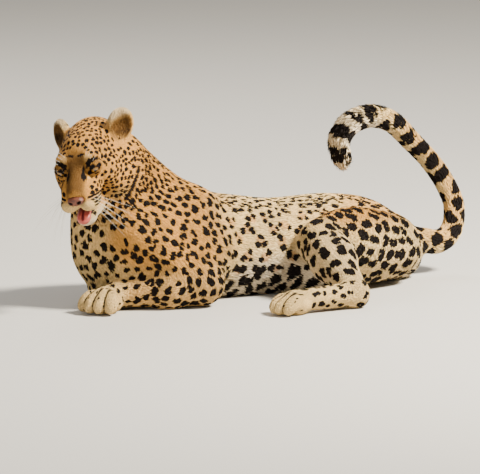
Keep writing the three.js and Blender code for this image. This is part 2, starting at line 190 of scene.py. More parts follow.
class Foot:
    """The back of a foot, the pad under its knuckles and four toes in a fan."""

    def __init__(self, start, heading, length, width, height, spread):
        self.place = f = Place((start[0], start[1], 0), heading)
        toe, back = width * 0.195, height * 0.46
        parts = [
            bone(start, f.at(length, 0, back + 4), 29, back, 22),
            egg(f, (length - 4, 0, back * 0.86), (34, width * 0.42, back), 16),
        ]
        self.tips, self.toes = [], []
        for i in TOE_ROWS:
            side = i * (width - 2 * toe) / 3
            knuckle = f.at(length + 8, side * 0.86, height * 0.62)
            tip = f.at(length + 44 - 7 * abs(i) ** 1.6, side * spread, toe * 0.92)
            d = tip - knuckle
            lean = Place(mix(knuckle, tip, 0.5), math.degrees(math.atan2(d @ LEFT, d @ AHEAD)),
                         math.degrees(math.asin(d[2] / np.linalg.norm(d))))
            size = (np.linalg.norm(d) / 2 + toe * 0.8, width * TOE_WIDTH, toe * 1.04)
            parts.append(egg(lean, (0, 0, 0), size, 5))
            self.tips.append(tip)
            self.toes.append(parts[-1][0])
        self.field = flesh(*parts)


class Foreleg:
    def __init__(self, side, shoulder, arm, fore, foot):
        self.joints = [shoulder, reach(shoulder, UPPER_ARM, *arm)]
        self.joints.append(reach(self.joints[1], FOREARM, *fore))
        shoulder, elbow, wrist = self.joints
        middle = mix(elbow, wrist, 0.4)
        self.upper = flesh(
            bone((-282, side * 58, 202), shoulder, 52, 52, 40),
            bone(shoulder, elbow, 54, 48, 40),
            egg(BODY, (322, -side * 116, 110), (96, 44, 78), 46),
        )
        self.lower = flesh(bone(elbow, middle, 47, 46, 20), bone(middle, wrist, 46, 31, 26))
        self.foot = Foot(wrist, **foot)


class Hindleg:
    def __init__(self, hip, thigh, shin, heading):
        knee = reach(hip, THIGH, *thigh)
        hock = reach(knee, SHIN, *shin)
        self.joints = [np.asarray(hip, float), knee, hock]
        calf = mix(knee, hock, 0.34)
        middle = Place(mix(hip, knee, 0.5), thigh[0] * 0.4, thigh[1])
        self.upper = flesh(
            bone(hip, knee, 76, 46, 40), egg(middle, (0, 0, -4), (140, 56, 88), 40)
        )
        self.lower = flesh(
            bone(knee, calf, 50, 50, 24),
            bone(calf, hock, 50, 29, 28),
            bone(hock, (hock[0] + 4, hock[1], 24), 27, 24, 14),
        )
        start = (hock[0], hock[1], 32)
        self.foot = Foot(start, heading, METATARSUS + 18, HINDPAW_WIDTH, 54, 1.04)


FORELEGS = [
    Foreleg(-1, (-446, -92, 166), (158, -38), (-18, -5), dict(
        heading=27, length=58, width=FOREPAW_WIDTH, height=60, spread=1.16)),
    Foreleg(1, (-404, 96, 156), (193, -36), (16, -2), dict(
        heading=72, length=56, width=FOREPAW_WIDTH, height=60, spread=1)),
]
HINDLEGS = [
    Hindleg((215, -70, 86), (21, 9), (86, -27), 3),
    Hindleg((215, 64, 82), (-24, 7), (194, -27), -4),
]

LEGS = FORELEGS + HINDLEGS

# Tail: a smooth line through these points, walked in even steps
TAIL_POINTS = [
    (300, 0, 80), (345, 0, 78), (388, 3, 72), (424, 8, 92), (438, 16, 144), (422, 26, 196),
    (386, 36, 252), (340, 46, 302), (294, 52, 346), (240, 54, 362), (188, 52, 350), (158, 48, 316),
    (160, 44, 276),
]
TAIL_STEPS = 56


def smooth_line(points, steps):
    """Even steps along a centripetal curve through all the points."""
    p = np.asarray(points, float)
    p = np.vstack([2 * p[0] - p[1], p, 2 * p[-1] - p[-2]])
    line = []
    for a, b, c, d in zip(p, p[1:], p[2:], p[3:]):
        t = np.linspace(0, 1, 40, endpoint=False)[:, None]
        k = [0]
        for u, v in ((a, b), (b, c), (c, d)):
            k.append(k[-1] + math.sqrt(np.linalg.norm(v - u)))
        t = k[1] + t * (k[2] - k[1])
        ab = a + (t - k[0]) / (k[1] - k[0]) * (b - a)
        bc = b + (t - k[1]) / (k[2] - k[1]) * (c - b)
        cd = c + (t - k[2]) / (k[3] - k[2]) * (d - c)
        abc = ab + (t - k[0]) / (k[2] - k[0]) * (bc - ab)
        bcd = bc + (t - k[1]) / (k[3] - k[1]) * (cd - bc)
        line.append(abc + (t - k[1]) / (k[2] - k[1]) * (bcd - abc))
    line = np.vstack(line + [p[-2:-1]])
    far = np.r_[0, np.cumsum(np.linalg.norm(np.diff(line, axis=0), axis=1))]
    return np.stack(
        [np.interp(np.linspace(0, far[-1], steps + 1), far, line[:, a]) for a in range(3)], 1
    )


def tail_radius(t):
    return 22 + 12 * np.exp(-6 * t) + 3 * t**2 - 6 * t**16


TAIL_LINE = smooth_line(TAIL_POINTS, TAIL_STEPS)
TAIL_REACH = np.linspace(0, 1, TAIL_STEPS + 1)
tail = flesh(*(
    bone(TAIL_LINE[i], TAIL_LINE[i + 1], *tail_radius(TAIL_REACH[i : i + 2]), 3)
    for i in range(TAIL_STEPS)
))

# Head, in its own frame: forward, left and up from the middle of the braincase
HEAD = Place((-540, -45, 340), 45, -18, 10)
HEAD_SIZE = 1.12


def head_point(*p):
    return HEAD.at(*(v * HEAD_SIZE for v in p))


def head_egg(centre, radii, k=0.0, turn=(0, 0, 0)):
    return egg(HEAD, [v * HEAD_SIZE for v in centre], [v * HEAD_SIZE for v in radii], k, turn)


def face_egg(centre, *rest):
    """An egg placed by the head's size, whose own radii are the true ones."""
    return egg(HEAD, np.multiply(centre, HEAD_SIZE), *rest)


def head_bone(a, b, ra, rb, k=0.0):
    return bone(head_point(*a), head_point(*b), ra * HEAD_SIZE, rb * HEAD_SIZE, k)


def both(make):
    return [make(1), make(-1)]


def eye_at(s):
    return head_point(80, s * 34, 18)


skull = flesh(
    head_egg((-22, 0, 6), (84, 62, 66), 30),
    head_egg((34, 0, 20), (50, 48, 46), 30),
    *both(lambda s: head_egg((5, s * 41, -24), (58, 34, 47), 26)),
    *both(lambda s: head_egg((44, s * 42, -4), (34, 20, 24), 20)),
    *both(lambda s: head_egg((68, s * 28, 36), (22, 20, 13), 14)),
    head_bone((56, 0, 14), (127, 0, -16), 33, 23, 22),
    *both(lambda s: head_egg((117, s * 20, -38), (32, 22, 19), 12)),
    head_bone((16, 0, -56), (100, 0, -74), 42, 20, 18),
    head_egg((111, 0, -79), (21, 19, 14), 12),
    *both(lambda s: head_egg((-34, s * 45, -42), (54, 37, 56), 34)),
    *both(lambda s: head_egg((92, s * 26, -18), (32, 16, 20), 16)),
)
sockets = flesh(*both(lambda s: head_egg((92, s * 38, 18), (17, 15, 11), 1)))

# Ears: rounded cups on the corners of the crown, the right one laid further back
EAR_SIZE = (17, 30, 38)
EAR_CUP = (16, 23, 31)
CUP_SHIFT = (13, 10, 5)
EARS = [
    dict(side=1, centre=(-33, 66, 50), turn=(38, 2, -26)),
    dict(side=-1, centre=(-42, -61, 37), turn=(-52, 14, 44)),
]
for ear in EARS:
    ear["hollow"] = np.add(ear["centre"], np.multiply(CUP_SHIFT, (1, ear["side"], 1)))
    ear["shell"] = head_egg(ear["centre"], EAR_SIZE, 4, ear["turn"])[0]
    ear["cup"] = head_egg(ear["hollow"], EAR_CUP, 4, ear["turn"])[0]

# Face: lids round each eye with a narrow opening, the open mouth, the cleft under the nose
LID = 2.6
eyeballs = flesh(*both(lambda s: egg(HEAD, HEAD.local(eye_at(s)), (EYE_RADIUS,) * 3, 1)))
eye_slits = flesh(*both(
    lambda s: face_egg((94, s * 38, 17), (15, 17.5, 3.3), 1, (s * 14, 0, s * 26))
))
mouth_gap = face_egg((124, 0, -59.5), (60, 46, 7.5), 1, (0, -7, 0))[0]
nose_pad = flesh(
    face_egg((144.5, 0, -23.5), (12.5, 15.5, 11), 4, (0, 20, 0)),
    *both(lambda s: face_egg((143, s * 9.5, -24), (12, 8, 8), 5)),
)
cleft = head_bone((152, 0, -32), (141, 0, -57), 1.6, 2.2)[0]

# How deep the skin lies in the solids under each part's coat, and the skin's level over the floor
COAT_DEPTH = {"body": 4.5, "limb": 3.2, "foot": 2.0, "tail": 4.0, "head": 2.2, "ear": 2.6}
FLOOR = 0.6
FACE_REACH = 190


def skin(p):
    """The distance to the one skin of the whole animal."""
    deep = COAT_DEPTH
    d = join(trunk(p), neck(p), 60)
    for leg, blend in zip(LEGS, (44, 44, 22, 22)):
        d = join(d, leg.upper(p), blend)
    d = join(d + deep["body"], tail(p) + deep["tail"], 30)
    d = join(d, head(p) + deep["head"], 30)
    for leg in LEGS:
        low = join(leg.lower(p) + deep["limb"], leg.foot.field(p) + deep["foot"], 14)
        d = join(d, low, 18)
    near = np.flatnonzero(np.abs(HEAD.local(p)).max(1) < FACE_REACH)
    d[near] = face(d[near], p[near])
    return np.maximum(d, FLOOR - p[:, 2])


def head(p):
    return carve(skull(p), sockets(p), 10)


def face(d, p):
    """The skin with its ears, lids, mouth, cleft and the bed of the nose."""
    for ear in EARS:
        cup = carve(ear["shell"](p) + COAT_DEPTH["ear"], ear["cup"](p) - 0.4, 4)
        d = join(d, cup, 8)
    d = join(d, eyeballs(p) - LID, 6)
    d = carve(d, eyeballs(p) - 0.3, 0.6)
    d = carve(d, eye_slits(p), 1.6)
    d = carve(d, mouth_gap(p), 4)
    d = carve(d, cleft(p), 4)
    return carve(d, nose_pad(p) - 0.3, 2)


# ---- A net of quads on a field's zero surface ----
def spaced(start, *runs):
    line = [start]
    for end, cell in runs:
        n = max(1, round((end - line[-1]) / cell))
        line += list(np.linspace(line[-1], end, n + 1)[1:])
    return np.array(line, np.float32)


def in_parts(field, points, size=120000):
    return np.concatenate([field(points[i : i + size]) for i in range(0, len(points), size)])


CORNERS = np.array([[c & 1, (c >> 1) & 1, c >> 2] for c in range(8)])
EDGES = [(c, c | bit) for c in range(8) for bit in (1, 2, 4) if not c & bit]
SETTLING_ROUNDS = 3
PROBE = 0.4


def surface_net(field, xs, ys, zs, step=4):
    """Points and outward quads where a field is zero, with one point in each cell it crosses.

    A coarse pass over every few cells finds where to look, and each point then moves along the
    field's slope, at most half a cell, onto the surface.
    """
    axes = []
    for line in (xs, ys, zs):
        spare = -(len(line) - 1) % step
        gap = line[-1] - line[-2]
        axes.append(np.r_[line, line[-1] + gap * np.arange(1, spare + 1)].astype(np.float32))
    n = [len(a) for a in axes]
    rough_at = np.stack(np.meshgrid(*(a[::step] for a in axes), indexing="ij"), -1)
    rough = in_parts(field, rough_at.reshape(-1, 3)).reshape(rough_at.shape[:3])
    low, high = rough_at[:-1, :-1, :-1], rough_at[1:, 1:, 1:]
    span = np.linalg.norm(high - low, axis=-1)
    near = np.zeros(span.shape, bool)
    for a, b, c in CORNERS:
        part = rough[a : rough.shape[0] - 1 + a, b : rough.shape[1] - 1 + b,
                     c : rough.shape[2] - 1 + c]
        near |= np.abs(part) < 0.8 * span
    cells = near.repeat(step, 0).repeat(step, 1).repeat(step, 2)
    spots = np.zeros(n, bool)
    for a, b, c in CORNERS:
        spots[a : n[0] - 1 + a, b : n[1] - 1 + b, c : n[2] - 1 + c] |= cells
    pick = [np.round(np.arange(m) / step).astype(int) for m in n]
    value = np.where(rough > 0, 1e3, -1e3).astype(np.float32)[np.ix_(*pick)]
    where = np.nonzero(spots)
    value[where] = in_parts(field, np.stack([axes[i][where[i]] for i in range(3)], 1))
    inside = value < 0
    cell = np.stack(np.nonzero(cells), 1)
    eight = np.stack([value[tuple((cell + c).T)] for c in CORNERS], 1)
    mixed = (eight < 0).any(1) & (eight >= 0).any(1)
    cell, eight = cell[mixed], eight[mixed]
    total, hits = np.zeros((len(cell), 3)), np.zeros(len(cell))
    for a, b in EDGES:
        cross = (eight[:, a] < 0) != (eight[:, b] < 0)
        t = eight[:, a] / np.where(cross, eight[:, a] - eight[:, b], 1)
        total += np.where(cross[:, None], CORNERS[a] + t[:, None] * (CORNERS[b] - CORNERS[a]), 0)
        hits += cross
    share = total / hits[:, None]
    base = np.stack([axes[i][cell[:, i]] for i in range(3)], 1)
    size = np.stack([axes[i][cell[:, i] + 1] for i in range(3)], 1) - base
    start = base + share * size
    points = start.astype(np.float32)
    for _ in range(SETTLING_ROUNDS):
        d = in_parts(field, points)
        slope = np.stack([
            in_parts(field, points + np.float32(PROBE) * np.eye(3, dtype=np.float32)[a]) - d
            for a in range(3)
        ], 1) / PROBE
        move = -slope * (d / np.maximum(0.3, (slope**2).sum(1)))[:, None]
        limit = 0.5 * size
        points = (start + np.clip(points + move - start, -limit, limit)).astype(np.float32)
    number = np.full([m - 1 for m in n], -1, np.int32)
    number[tuple(cell.T)] = np.arange(len(cell))
    quads = []
    for axis in range(3):
        s, t = np.eye(3, dtype=int)[(axis + 1) % 3], np.eye(3, dtype=int)[(axis + 2) % 3]
        flip = np.diff(inside.astype(np.int8), axis=axis)
        at = np.stack(np.nonzero(flip), 1)
        at = at[(at[:, (axis + 1) % 3] > 0) & (at[:, (axis + 2) % 3] > 0)]
        at = at[(at < np.array(n) - 1).all(1)]
        ring = np.stack(
            [number[tuple((at - a * s - b * t).T)] for a, b in ((1, 1), (0, 1), (0, 0), (1, 0))], 1
        )
        outward = inside[tuple(at.T)]
        ring[~outward] = ring[~outward][:, ::-1]
        quads.append(ring[(ring >= 0).all(1)])
    return largest_shell(points, np.vstack(quads))


def largest_shell(points, quads):
    """The points and quads of the connected surface that has the most quads."""
    label = np.arange(len(points))
    a, b = quads.ravel(), np.roll(quads, 1, axis=1).ravel()
    while True:
        least = np.minimum(label[a], label[b])
        new = label.copy()
        np.minimum.at(new, a, least)
        np.minimum.at(new, b, least)
        new = new[new]
        if (new == label).all():
            break
        label = new
    keep = label == np.bincount(label[quads[:, 0]]).argmax()
    number = np.cumsum(keep) - 1
    return points[keep], number[quads[keep[quads[:, 0]]]]


# Cells of the skin's net, finest at the face and toes
FINE, TOES, BODY_CELL = 3.0, 3.8, 8.6
skin_points, skin_quads = surface_net(
    skin,
    spaced(-690, (-432, FINE), (-382, 4.6), (-245, BODY_CELL), (-145, TOES), (-55, BODY_CELL),
           (45, TOES), (480, BODY_CELL)),
    spaced(-400, (-290, TOES), (-195, 7.6), (62, FINE), (170, 7.6), (270, TOES), (300, 7.6)),
    spaced(-8, (60, 3.6), (226, 7.4), (470, FINE)),
)
corner_a, corner_b, corner_c, corner_d = (skin_points[skin_quads[:, i]] for i in range(4))
quad_normal = np.cross(corner_c - corner_a, corner_d - corner_b)
quad_area = np.linalg.norm(quad_normal, axis=1) / 2
skin_normals = np.zeros_like(skin_points)
for i in range(4):
    np.add.at(skin_normals, skin_quads[:, i], quad_normal)
skin_normals = unit(skin_normals)


# ---- Meshes in metres, in the frame of the solids ----
eye_low, eye_high = (np.array(corner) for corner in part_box("eye_left"))
SHIFT = (eye_low + eye_high) / 2 / MM - eye_at(1)


def placed(points):
    return (np.asarray(points) + SHIFT) * MM


def store(mesh, name, values, kind="FLOAT_VECTOR", domain="POINT"):
    layer = mesh.attributes.new(name, kind, domain)
    key = "vector" if kind == "FLOAT_VECTOR" else "value"
    layer.data.foreach_set(key, np.asarray(values, np.float32).ravel())


def make_piece(name, points, runs, slot):
    """A mesh object from points in millimetres and runs of faces that have one size each."""
    mesh = bpy.data.meshes.new(name)
    mesh.vertices.add(len(points))
    mesh.vertices.foreach_set("co", placed(points).astype(np.float32).ravel())
    corners = np.concatenate([run.ravel() for run in runs])
    sizes = np.concatenate([np.full(len(run), run.shape[1]) for run in runs])
    mesh.loops.add(len(corners))
    mesh.loops.foreach_set("vertex_index", corners.astype(np.int32))
    mesh.polygons.add(len(sizes))
    mesh.polygons.foreach_set("loop_start", (np.cumsum(sizes) - sizes).astype(np.int32))
    mesh.polygons.foreach_set("loop_total", sizes.astype(np.int32))
    mesh.polygons.foreach_set("use_smooth", np.ones(len(sizes), bool))
    mesh.update(calc_edges=True)
    piece = bpy.data.objects.new(name, mesh)
    bpy.context.collection.objects.link(piece)
    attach(piece, "root")
    return piece


# ---- Parts of the coat: their fields, and which way the hair lies on them ----
def steady(direction):
    return lambda p, n: np.broadcast_to(direction, p.shape)


def away_from(*point):
    middle = head_point(*point)
    return lambda p, n: p - middle


def trunk_way(p, n):
    drop = -0.45 * (1 - np.abs(n[:, 2]))
    return np.stack([np.ones(len(p)), np.zeros(len(p)), drop], 1)


def nearest_on_tail(p):
    far = np.full(len(p), 1e9)
    which = np.zeros(len(p), int)
    for i, spot in enumerate(TAIL_LINE):
        d = ((p - spot) ** 2).sum(1)
        which[d < far] = i
        far = np.minimum(far, d)
    return which


def along_tail(p):
    return nearest_on_tail(p) / TAIL_STEPS


def tail_way(p, n):
    i = np.clip(nearest_on_tail(p), 1, TAIL_STEPS - 1)
    return TAIL_LINE[i + 1] - TAIL_LINE[i - 1]


KINDS = ["trunk", "neck", "head", "ear", "arm", "forearm", "forepaw", "thigh", "shin",
         "hindpaw", "tail"]
COAT_PARTS = [
    ("trunk", trunk, trunk_way),
    ("neck", neck, away_from(-30, 0, 0)),
    ("head", head, away_from(150, 0, -25)),
    ("tail", tail, tail_way),
]
for ear in EARS:
    base = np.add(ear["centre"], (-6, -ear["side"] * 14, -44))
    COAT_PARTS.append(("ear", ear["shell"], away_from(*base)))
for legs, kinds in ((FORELEGS, ("arm", "forearm", "forepaw")),
                    (HINDLEGS, ("thigh", "shin", "hindpaw"))):
    for leg in legs:
        top, middle, low = leg.joints
        COAT_PARTS += [
            (kinds[0], leg.upper, steady(unit(middle - top) + (0.5, 0, -0.5))),
            (kinds[1], leg.lower, steady(low - middle)),
            (kinds[2], leg.foot.field, steady(leg.foot.place.f + (0, 0, -0.35))),
        ]


def tangent(v, n):
    return unit(v - (v * n).sum(1, keepdims=True) * n)


# Each point's share of every part fades over this distance from the nearest part
SHARE_FADE = 9
reach_of = np.stack([in_parts(field, skin_points) for _, field, _ in COAT_PARTS], 1)
share = np.exp(-(reach_of - reach_of.min(1, keepdims=True)) / SHARE_FADE)
share /= share.sum(1, keepdims=True)
skin_way = sum(
    share[:, i : i + 1] * unit(way(skin_points, skin_normals))
    for i, (_, _, way) in enumerate(COAT_PARTS)
)
kind_share = np.stack(
    [share[:, [part[0] == kind for part in COAT_PARTS]].sum(1) for kind in KINDS], 1
)
SIDES_A = skin_quads.ravel()
SIDES_B = np.roll(skin_quads, -1, axis=1).ravel()


def smoothed(values, rounds):
    """Values at the skin's points, each mixed with its neighbours' some times over."""
    count = np.bincount(SIDES_A, minlength=len(values)) * 2.0
    shape = (-1,) + (1,) * (values.ndim - 1)
    for _ in range(rounds):
        total = np.zeros_like(values)
        np.add.at(total, SIDES_A, values[SIDES_B])
        np.add.at(total, SIDES_B, values[SIDES_A])
        values = (values + total / count.reshape(shape)) / 2
    return values


skin_way = tangent(skin_way, skin_normals)
skin_way = tangent(smoothed(skin_way, 8), skin_normals)

# ---- The coat's ground colour and drawn marks ----
MARKS_REACH = 160
TOES_REACH = 90


def in_head(p):
    return HEAD.local(p) / HEAD_SIZE


def one_side(h):
    """Points in the head's frame with both its sides folded onto the left."""
    return np.stack([h[:, 0], np.abs(h[:, 1]), h[:, 2]], 1)


# Dark strokes of the face in the head's frame, with their half widths, on both sides
STROKES = [
    (3.0, [(115, 17, 6), (107, 15, 15), (96, 17, 22)]),
    (5.2, [(95, 20, 25), (88, 31, 36), (78, 41, 35)]),
    (3.4, [(72, 45, 29), (62, 48, 20), (60, 52, 8)]),
    (3.0, [(101, 14, 24), (96, 12, 31)]),
    (4.4, [(111, 15, 4), (103, 22, 16), (95, 33, 24), (84, 43, 24)]),
    (3.6, [(90, 26, 44), (84, 34, 46)]),
    (2.6, [(78, 29, -12), (72, 36, -14)]),
    (2.8, [(92, 33, -3), (84, 42, 2)]),
    (3.2, [(80, 7, 46), (78, 17, 49)]),
    (2.6, [(90, 5, 38), (87, 12, 42)]),
    (4.0, [(43, 20, 61), (48, 19, 60)]),
    (6.2, [(-13, 88, -40), (-3, 84, -50), (7, 78, -61), (14, 70, -73), (22, 59, -88)]),
    (5.0, [(-4, 81, -90), (-14, 87, -91)]),
    (5.6, [(23, 72, -108), (27, 66, -112)]),
    (7.5, [(40, 44, -114), (46, 38, -115)]),
    (5.0, [(41, 26, -102), (38, 30, -100)]),
    (3.6, [(45, 45, -57), (40, 49, -60)]),
    (3.6, [(108, 23, -2), (118, 21, -7)]),
    (2.2, [(98, 26, 1), (93, 36, 6), (87, 45, 12)]),
    (7.0, [(86, 33, -54), (70, 37, -58)]),
    (4.2, [(108, 18, -72), (92, 27, -72)]),
    (6.5, [(62, 14, -108), (48, 8, -116)]),
]
UNDER_EYE = [(103, 22, 4), (97, 32, 9), (88, 46, 22)]
WHISKER_ROWS = (-25, -31, -37, -43)


def distance_to_line(p, points):
    best = np.full(len(p), 1e9)
    points = np.asarray(points, float)
    for a, b in zip(points, points[1:]):
        d = b - a
        t = np.clip((p - a) @ d / (d @ d), 0, 1)
        best = np.minimum(best, np.linalg.norm(p - a - t[:, None] * d, axis=1))
    return best


def face_marks(p):
    """How dark the face's own marks make each point, and how brown its nose bridge is."""
    h = in_head(p)
    f, l, u = h.T
    side = one_side(h)
    sway = 1 + 0.22 * np.sin(0.9 * f + 0.7 * u) + 0.12 * np.sin(1.9 * l - 1.3 * u)
    ink = np.zeros(len(p))
    for width, line in STROKES:
        away = distance_to_line(side, line)
        ink = np.maximum(ink, ramp(-away, -(width * sway + 1), -(width * sway - 1)))
    pad = ramp(f, 94, 100) * ramp(-f, -141, -133) * ramp(np.abs(l), 19, 25)
    for row in WHISKER_ROWS:
        away = np.abs(u - row - 0.1 * (f - 118))
        ink = np.maximum(ink, 0.92 * pad * ramp(-away, -2.7, -1.5))
    rim = np.maximum(eye_slits(p), eyeballs(p) - 4.5)
    ink = np.maximum(ink, ramp(-rim, -3.4, -1.8))
    lips = ramp(f, 60, 84) * ramp(-np.abs(mouth_gap(p)), -6, -3.2) * ramp(u, -80, -74)
    ink = np.maximum(ink, lips)
    ink = np.maximum(ink, ramp(-cleft(p), -3.6, -2))
    bridge = ramp(f, 52, 84) * ramp(-f, -150, -138)
    bridge = bridge * ramp(-np.abs(l), -25, -14) * ramp(u, -30, -20)
    return ink * (np.abs(h).max(1) < MARKS_REACH), bridge


def face_zone(p):
    """Where the small spots of the face stay away, because its own marks are there."""
    side = one_side(in_head(p))
    f, l, u = side.T
    bare = (f > 62) & (l < 19) & (u > -28)
    bare |= (f > 96) & (u > -52) & ((l < 21) | (u < -20) | (u > -3) | (f > 124))
    bare |= (f > 68) & (u > -4) & (l < 50) & (u < 30)
    bare |= (f > 60) & (u < -52)
    for width, line in STROKES:
        bare |= distance_to_line(side, line) < width + 7
    return bare & (np.abs(side).max(1) < MARKS_REACH)


def toe_gaps(p):
    """Where two toes of a foot meet: about as far from both, and close to them."""
    gap = np.zeros(len(p))
    for leg in LEGS:
        near = np.flatnonzero(((p - leg.foot.tips[1]) ** 2).sum(1) < TOES_REACH**2)
        if len(near):
            first, second = np.sort([toe(p[near]) for toe in leg.foot.toes], axis=0)[:2]
            meet = ramp(first - second, -6.5, -2) * ramp(-first, -10, -5)
            gap[near] = np.maximum(gap[near], meet)
    return gap


def ear_marks(p, n, ears, u):
    """How pale, how brown and how dark the ears are: the black back with its pale spot and
    tip, and the cup, which is darkened downwards as painted shade of its hollow."""
    pale, brown, ink = np.zeros((3, len(p)))
    for ear in EARS:
        centre = head_point(*ear["centre"])
        toward = unit(head_point(*ear["hollow"]) - centre)
        behind = ramp(-(n @ toward), 0.32, 0.7)
        tip = ramp(u - ear["centre"][2], 12, 24)
        near = ears * (ear["shell"](p) < 8)
        from_spot = p - centre + toward * 14 - HEAD.u * 6
        spot = ramp(-np.linalg.norm(from_spot, axis=1), -22, -15)
        cup = near * ramp(-ear["cup"](p), -5, -1.5)
        pale = np.maximum.reduce([
            pale, near * np.maximum(behind * spot, 0.75 * tip), 0.4 * cup * ramp(u, 56, 72)])
        # Brown and black low in the cup are painted shade of its hollow; the black back is the
        # ear's own colour.
        brown = np.maximum(brown, 0.95 * cup * ramp(-u, -78, -54))
        ink = np.maximum.reduce([
            ink, near * behind * (1 - spot) * (1 - 0.7 * tip), cup * 0.55 * ramp(-u, -54, -36)])
    return pale, brown, ink


def ground(p, n, kinds):
    """How pale, how brown and how dark each point of the coat is, before its spots. Part of it is
    painted light and shade: shade on the rump, in the ear cups, round the eyes and between the
    toes, and light on the lower thigh.
    """
    kind = dict(zip(KINDS, kinds.T))
    x, y, z = p.T
    side = one_side(in_head(p))
    f, _, u = side.T
    fore = ramp(-x, 120, 330)
    # Towards the tail the body is darkened as painted shade over the haunch.
    body = 0.56 - 0.48 * fore - 0.22 * ramp(x, 60, 180) - 0.14 * ramp(x, 180, 300)
    body -= (0.16 - 0.1 * fore) * ramp(n[:, 2], 0.45, 0.9) * ramp(z, 130, 190)
    body += (0.5 - 0.3 * fore) * ramp(-z, -125, -40)
    inner = ramp(np.sign(y) * -n[:, 1], 0.2, 0.8)
    chest = ramp(-x, 395, 470) * ramp(-n[:, 0], 0.1, 0.75) * ramp(-z, -250, -170)
    pale = kind["trunk"] * body + (kind["trunk"] + kind["neck"]) * 0.3 * chest
    throat = ramp(-(n @ HEAD.u), 0.15, 0.75) * ramp(z, 120, 190) * ramp(-x, 440, 500)
    pale += kind["neck"] * (0.07 + 0.8 * throat)
    jaw = ramp(-u, 58, 84) * ramp(f, 40, 84)
    cheek = 0.16 * ramp(-u, 30, 75)
    pad = 0.42 * ramp(f, 84, 104) * ramp(-u, 20, 34)
    lid = 0.3 * ramp(-distance_to_line(side, UNDER_EYE), -4, -1.6)
    brow = 0.25 * ramp(-np.linalg.norm(side - (84, 26, 42), axis=1), -14, -7)
    pale += kind["head"] * np.maximum.reduce([0.9 * jaw, cheek, pad, lid, brow])
    pale += kind["arm"] * (body + 0.4 * inner) + kind["forearm"] * (0.24 + 0.45 * inner)
    pale += kind["forepaw"] * 0.42 + kind["hindpaw"] * 0.44
    # The lower thigh is made paler as painted light, which leaves its top darker as painted shade.
    pale += kind["thigh"] * (0.06 + 0.5 * ramp(-z, -190, -100) + 0.3 * inner)
    pale += kind["shin"] * (0.62 + 0.2 * inner)
    tip = ramp(along_tail(p), 0.62, 0.9)
    pale += kind["tail"] * (0.24 + 0.35 * ramp(-n[:, 2], -0.2, 0.8) + 0.55 * tip)
    pale += kind["ear"] * 0.3
    ear_pale, ear_cup_shade, ear_black_and_cup_shade = ear_marks(p, n, kind["ear"], u)
    ink, bridge = face_marks(p)
    # Dark lines between the toes are painted shade in the creases.
    toe_groove_shade = 0.6 * toe_gaps(p) * (kind["forepaw"] + kind["hindpaw"])
    # Brown round each eye is painted shade in its socket.
    eye_socket_shade = ramp(-np.linalg.norm((side - (92, 32, 24)) * (1, 0.7, 1), axis=1), -26, -12)
    brown = kind["head"] * np.maximum(0.95 * bridge, 0.6 * eye_socket_shade)
    brown = brown + 0.25 * kind["ear"] + ear_cup_shade
    tone = [np.maximum(pale, ear_pale), brown, np.maximum.reduce([ink, toe_groove_shade, ear_black_and_cup_shade])]
    return np.clip(np.stack(tone, 1), 0, 1)


skin_tone = ground(skin_points, skin_normals, kind_share)

# ---- Spots: marks strewn over the skin, each of one dab or a few ----
# Space between marks, radius of a dab, its length against its breadth, radius of the ring
# that a mark's dabs stand in, and about how many they are
SPOTS = {
    "trunk": (26, 8.8, 1.15, 4.5, 2.0),
    "neck": (13.6, 7.0, 1.2, 2.2, 1.3),
    "head": (9.6, 5.8, 1.15, 0.0, 1.0),
    "ear": (40, 0.3, 1.0, 0.0, 1.0),
    "arm": (19, 7.9, 1.15, 3.2, 1.7),
    "forearm": (18.8, 8.8, 1.15, 3.4, 1.8),
    "forepaw": (22, 2.9, 2.2, 4.0, 1.3),
    "thigh": (25, 12.4, 1.05, 4.6, 2.0),
    "shin": (26, 11.6, 1.05, 4.6, 1.8),
    "hindpaw": (32, 3.2, 2.2, 6.0, 1.4),
    "tail": (32, 17.5, 0.8, 6.0, 2.1),
}
BACK_SPOTS = (15.5, 8.2, 1.5, 3.2, 1.7)
FLANK_SPOTS = (34, 7.8, 1.1, 11.5, 2.7)
BELLY_SPOTS = (31, 15.0, 0.6, 6.5, 2.4)
SHOULDER_SPOTS = (16.8, 7.8, 1.15, 2.8, 1.6)
RUMP_SPOTS = (24, 12.2, 1.1, 4.6, 2.0)
CHEST_SPOTS = (22.5, 8.2, 1.0, 3.8, 1.7)
TAIL_END_SPOTS = (39, 24.0, 0.5, 7.9, 2.5)
CROWN_SPOTS = (9.4, 6.0, 1.35, 2.0, 1.4)
FOOT_SPOTS = (18.5, 6.4, 1.15, 3.4, 1.7)
ROSETTE_RING = 8  # a mark with a wider ring than this is a rosette with a tawny heart
LARGEST_SHARE = 0.48  # of the way to the next mark, for a dab's radius
NEXT_DABS = 7  # looked through for one of another mark
NEXT_SEEDS = 4  # looked through for one that faces the same way
SAME_WAY = 0.15  # least product of two normals for that
CROWD_WAY = -0.1  # and for a mark to keep others away


